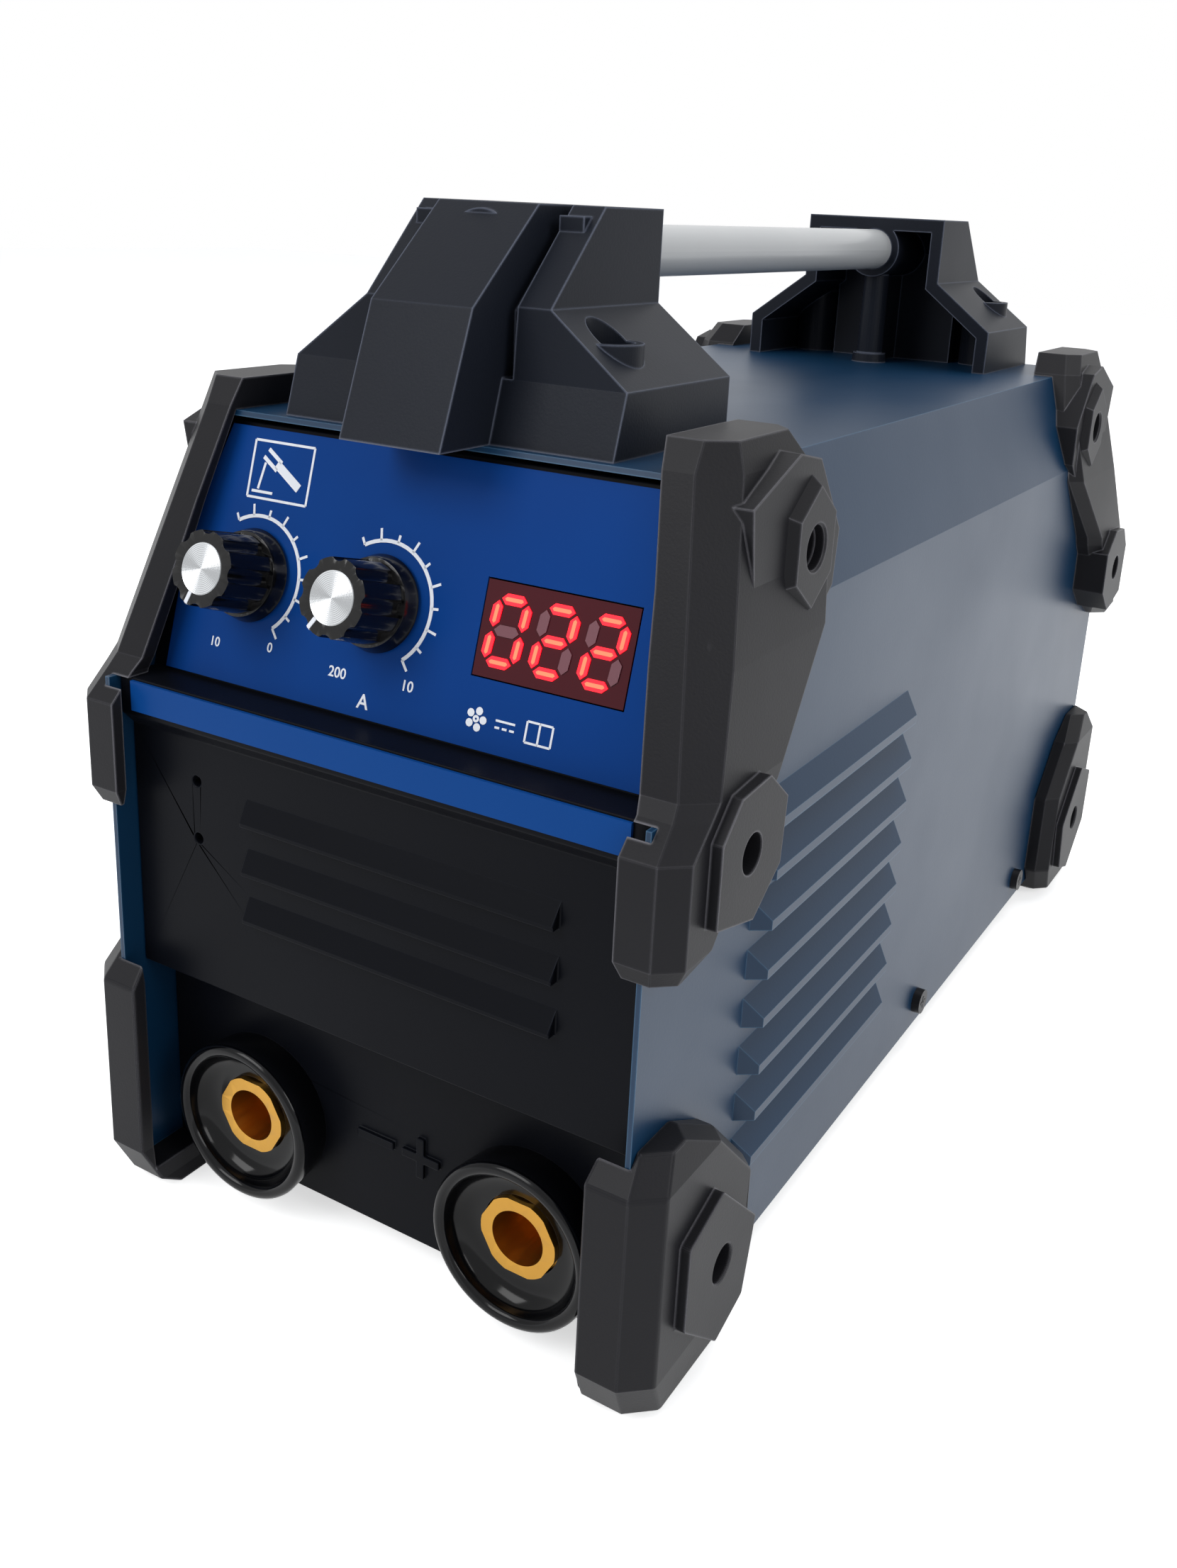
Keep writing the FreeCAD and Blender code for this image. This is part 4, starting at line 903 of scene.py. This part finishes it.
@dataclass
class GuardBoss:
    """The raised six-sided rim round the upper screw of a corner guard."""

    end: int
    side: int
    along: float = 116 * MM
    up: float = 176 * MM
    plane: float = 71.9 * MM
    reach: float = 11.5 * MM
    height: float = 2.4 * MM
    slope: float = 1.6 * MM
    hole: float = 4.6 * MM
    bevel: float = 0.5 * MM
    stretch: float = 1.25
    steps: int = 48

    def build(self) -> None:
        """Grow six-sided and round rings out of one edge loop, into a rim with a sloping edge."""
        shape = bmesh.new()
        levels = ((self.reach, True, 0.0), (self.reach - self.slope, True, self.height),
                  (self.hole + self.bevel, False, self.height), (self.hole, False, self.height - self.bevel),
                  (self.hole, False, 0.0))
        rings = [bmesh.ops.create_circle(shape, segments=self.steps, radius=1.0)["verts"]]
        edges = list(shape.edges)
        for _ in levels[1:]:
            grown = bmesh.ops.extrude_edge_only(shape, edges=edges)["geom"]
            rings.append([part for part in grown if isinstance(part, bmesh.types.BMVert)])
            edges = [part for part in grown if isinstance(part, bmesh.types.BMEdge)
                     and all(vert in rings[-1] for vert in part.verts)]
        for ring, (radius, six_sided, lift) in zip(rings, levels):
            for vert in ring:
                wide = tall = radius
                if six_sided:
                    turn = math.atan2(vert.co.y, vert.co.x) % (math.pi / 3) - math.pi / 6
                    wide = radius * math.cos(math.pi / 6) / math.cos(turn)
                    tall = wide * self.stretch
                vert.co = Vector((vert.co.x * tall, vert.co.y * wide, lift))
        turn = Matrix.Rotation(self.side * math.pi / 2, 4, "Y")
        shape.transform(at(self.side * self.plane, self.end * self.along, self.up) @ turn)
        bmesh.ops.recalc_face_normals(shape, faces=shape.faces)
        add_piece("guard_boss_%s_%s" % (ENDS[self.end], SIDES[self.side]), shape, GUARD_ABS)


@dataclass
class TubePost:
    """The round post that stands under the tube in a bracket's mouth."""

    end: int
    radius: float = 4.2 * MM
    along: float = 99.0 * MM
    low: float = 191.5 * MM
    high: float = 220.0 * MM
    foot_share: float = 1.35
    foot_height: float = 3 * MM
    taper: float = 0.94
    steps: int = 32

    def build(self) -> None:
        """Stand the post, with a wider foot."""
        shape = bmesh.new()
        for radius, height in ((self.radius, self.high - self.low),
                               (self.radius * self.foot_share, self.foot_height)):
            bmesh.ops.create_cone(shape, cap_ends=True, segments=self.steps, radius1=radius,
                                  radius2=radius * self.taper, depth=height,
                                  matrix=at(0, self.end * self.along, self.low + height / 2))
        add_piece("tube_post_" + ENDS[self.end], shape, BRACKET_ABS)


@dataclass
class ScrewRecesses:
    """The cross recesses of the cover's side screws."""

    length: float = 3.6 * MM
    width: float = 0.7 * MM
    depth: float = 0.1 * MM

    def build(self) -> None:
        """Mark a cross on each screw's head."""
        low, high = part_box("cover_screws")
        shape = bmesh.new()
        half_height = (high[2] - low[2]) / 2
        for side, edge in ((-1, low[0]), (1, high[0])):
            for along in (low[1] + half_height, high[1] - half_height):
                place = at(edge + side * self.depth / 2, along, low[2] + half_height)
                add_bar(shape, (self.depth, self.length, self.width), place)
                add_bar(shape, (self.depth, self.width, self.length), place)
        add_piece("cover_screw_recesses", shape, BLACK_STEEL)


# ---------------------------------------------------------------- studio
def white_rays(tree: bpy.types.NodeTree) -> bpy.types.NodeSocket:
    """Pick out the rays that should see the pale surround: camera, glossy and transmitted ones.

    Args:
        tree: The node tree to add to.

    Returns:
        One for such a ray, and zero for any other.
    """
    ray = add_node(tree, "ShaderNodeLightPath")
    total = ray.outputs["Is Camera Ray"]
    for name in ("Is Glossy Ray", "Is Transmission Ray"):
        total = add_node(tree, "ShaderNodeMath", {"operation": "MAXIMUM"},
                         links={0: total, 1: ray.outputs[name]}).outputs["Value"]
    return total


@dataclass(frozen=True)
class Lamp:
    """One soft square lamp that faces the case: its place and edge in metres, its power in watts."""

    name: str
    place: tuple[float, float, float]
    edge: float
    power: float

    def hang(self, target: Vector) -> None:
        """Hang the lamp.

        Args:
            target: The point that it faces.
        """
        data = bpy.data.lights.new(self.name, "AREA")
        data.size, data.energy = self.edge, self.power
        lamp = bpy.data.objects.new(self.name, data)
        aim = target - Vector(self.place)
        lamp.matrix_world = at(*self.place) @ aim.to_track_quat("-Z", "Y").to_matrix().to_4x4()
        bpy.context.scene.collection.objects.link(lamp)


@dataclass
class Studio:
    """The plain floor, soft lamps and the camera."""

    camera_place: tuple[float, float, float] = mm(181.2, -382.4, 239.3)
    yaw: float = 30.64
    pitch: float = -17.88
    roll: float = 2.74
    lens_mm: float = 33.722
    shift_up: float = -0.07052
    nearest: float = 0.01
    farthest: float = 20.0
    aim: tuple[float, float, float] = (0.0, 0.0, 0.1)
    lamps: tuple[Lamp, ...] = (Lamp("key_lamp", (-0.7, -1.6, 1.5), 1.2, 26),
                               Lamp("side_lamp", (1.9, -0.5, 1.2), 1.0, 14),
                               Lamp("top_lamp", (0.2, 0.6, 1.8), 1.4, 16))
    floor_half: float = 4.0
    paper: str = "f4f4f4"
    paper_roughness: float = 0.9
    paper_lift: float = 0.62
    glow: str = "ffffff"
    surround: str = "e9edf2"
    surround_strength: float = 0.4

    def camera(self) -> None:
        """Stand the camera where the operator looks from."""
        data = bpy.data.cameras.new("camera")
        data.lens, data.shift_y = self.lens_mm, self.shift_up
        data.clip_start, data.clip_end = self.nearest, self.farthest
        camera = bpy.data.objects.new("camera", data)
        yaw, pitch, roll = (math.radians(angle) for angle in (self.yaw, self.pitch, self.roll))
        forward = Vector((-math.sin(yaw) * math.cos(pitch), math.cos(yaw) * math.cos(pitch), math.sin(pitch)))
        right = Vector((math.cos(yaw), math.sin(yaw), 0))
        up = right.cross(forward)
        right, up = (right * math.cos(roll) + up * math.sin(roll),
                     up * math.cos(roll) - right * math.sin(roll))
        turn = Matrix((right, up, -forward)).transposed().to_4x4()
        camera.matrix_world = at(*self.camera_place) @ turn
        bpy.context.scene.collection.objects.link(camera)
        bpy.context.scene.camera = camera

    def floor(self) -> None:
        """Lay the plain floor of matt white paper, which shows white and keeps the case's shadow."""
        shape = bmesh.new()
        bmesh.ops.create_grid(shape, x_segments=1, y_segments=1, size=self.floor_half)
        mesh = bpy.data.meshes.new("floor")
        shape.to_mesh(mesh)
        shape.free()
        floor = bpy.data.objects.new("floor", mesh)
        bpy.context.scene.collection.objects.link(floor)
        paper = bpy.data.materials.new("white_paper_floor")
        paper.use_nodes = True
        tree = paper.node_tree
        shader = tree.nodes["Principled BSDF"]
        shader.inputs["Base Color"].default_value = linear(self.paper)
        shader.inputs["Roughness"].default_value = self.paper_roughness
        shader.inputs["Emission Color"].default_value = linear(self.glow)
        lift = add_node(tree, "ShaderNodeMath", {"operation": "MULTIPLY"}, {1: self.paper_lift},
                        {0: white_rays(tree)})
        tree.links.new(lift.outputs["Value"], shader.inputs["Emission Strength"])
        mesh.materials.append(paper)

    def world(self) -> None:
        """Give an even pale surround, white to the camera and in reflections."""
        world = bpy.data.worlds.new("surround")
        bpy.context.scene.world = world
        world.use_nodes = True
        tree = world.node_tree
        tree.nodes.clear()
        dim = add_node(tree, "ShaderNodeBackground",
                       values={"Color": linear(self.surround), "Strength": self.surround_strength})
        white = add_node(tree, "ShaderNodeBackground", values={"Color": linear(self.glow)})
        mix = add_node(tree, "ShaderNodeMixShader",
                       links={"Fac": white_rays(tree), 1: dim.outputs["Background"],
                              2: white.outputs["Background"]})
        add_node(tree, "ShaderNodeOutputWorld", links={"Surface": mix.outputs["Shader"]})

    def build(self) -> None:
        """Set up the camera, floor, surround and lamps."""
        self.camera()
        self.floor()
        self.world()
        for lamp in self.lamps:
            lamp.hang(Vector(self.aim))
        bpy.context.scene.view_settings.view_transform = "Standard"


def dress_nodes(frame: dict[str, dict], slots: dict[str, str]) -> None:
    """Give every node of the frame its real finish.

    Args:
        frame: The loaded frame.
        slots: The material slot of each node.
    """
    for node, piece in frame["nodes"].items():
        finish = node_finish(node, slots)
        for slot in piece.material_slots:
            slot.material = material(finish)
        LOG.info("dressed %s in %s", node, finish.name)


def main() -> None:
    """Build the dressed inverter and its studio."""
    logging.basicConfig(level=logging.INFO)
    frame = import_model()
    slots = {part["node"]: part["material_slot"] for part in frame["record"]["subparts"]}
    dress_nodes(frame, slots)
    for edge in SOFT_EDGES:
        edge.build(slots)
    face = ControlFace()
    Display(face).build()
    Dial(face, "current", middle=-7.1 * MM, pointer=236.0).build()
    Dial(face, "arc_force", middle=-42.9 * MM, pointer=250.0).build()
    HolderIcon(face).build()
    ServiceIcons(face).build()
    for name, words, *sizes in PRINTED_SIGNS:
        PrintedSign(face, name, words, *mm(*sizes)).build()
    ScrewRecesses().build()
    for pole, side in (("negative", -1), ("positive", 1)):
        SocketCollar(pole, side).build()
    for end in ENDS:
        TubePost(end).build()
        for side in SIDES:
            GuardBoss(end, side).build()
    Studio().build()


if __name__ == "__main__":
    main()
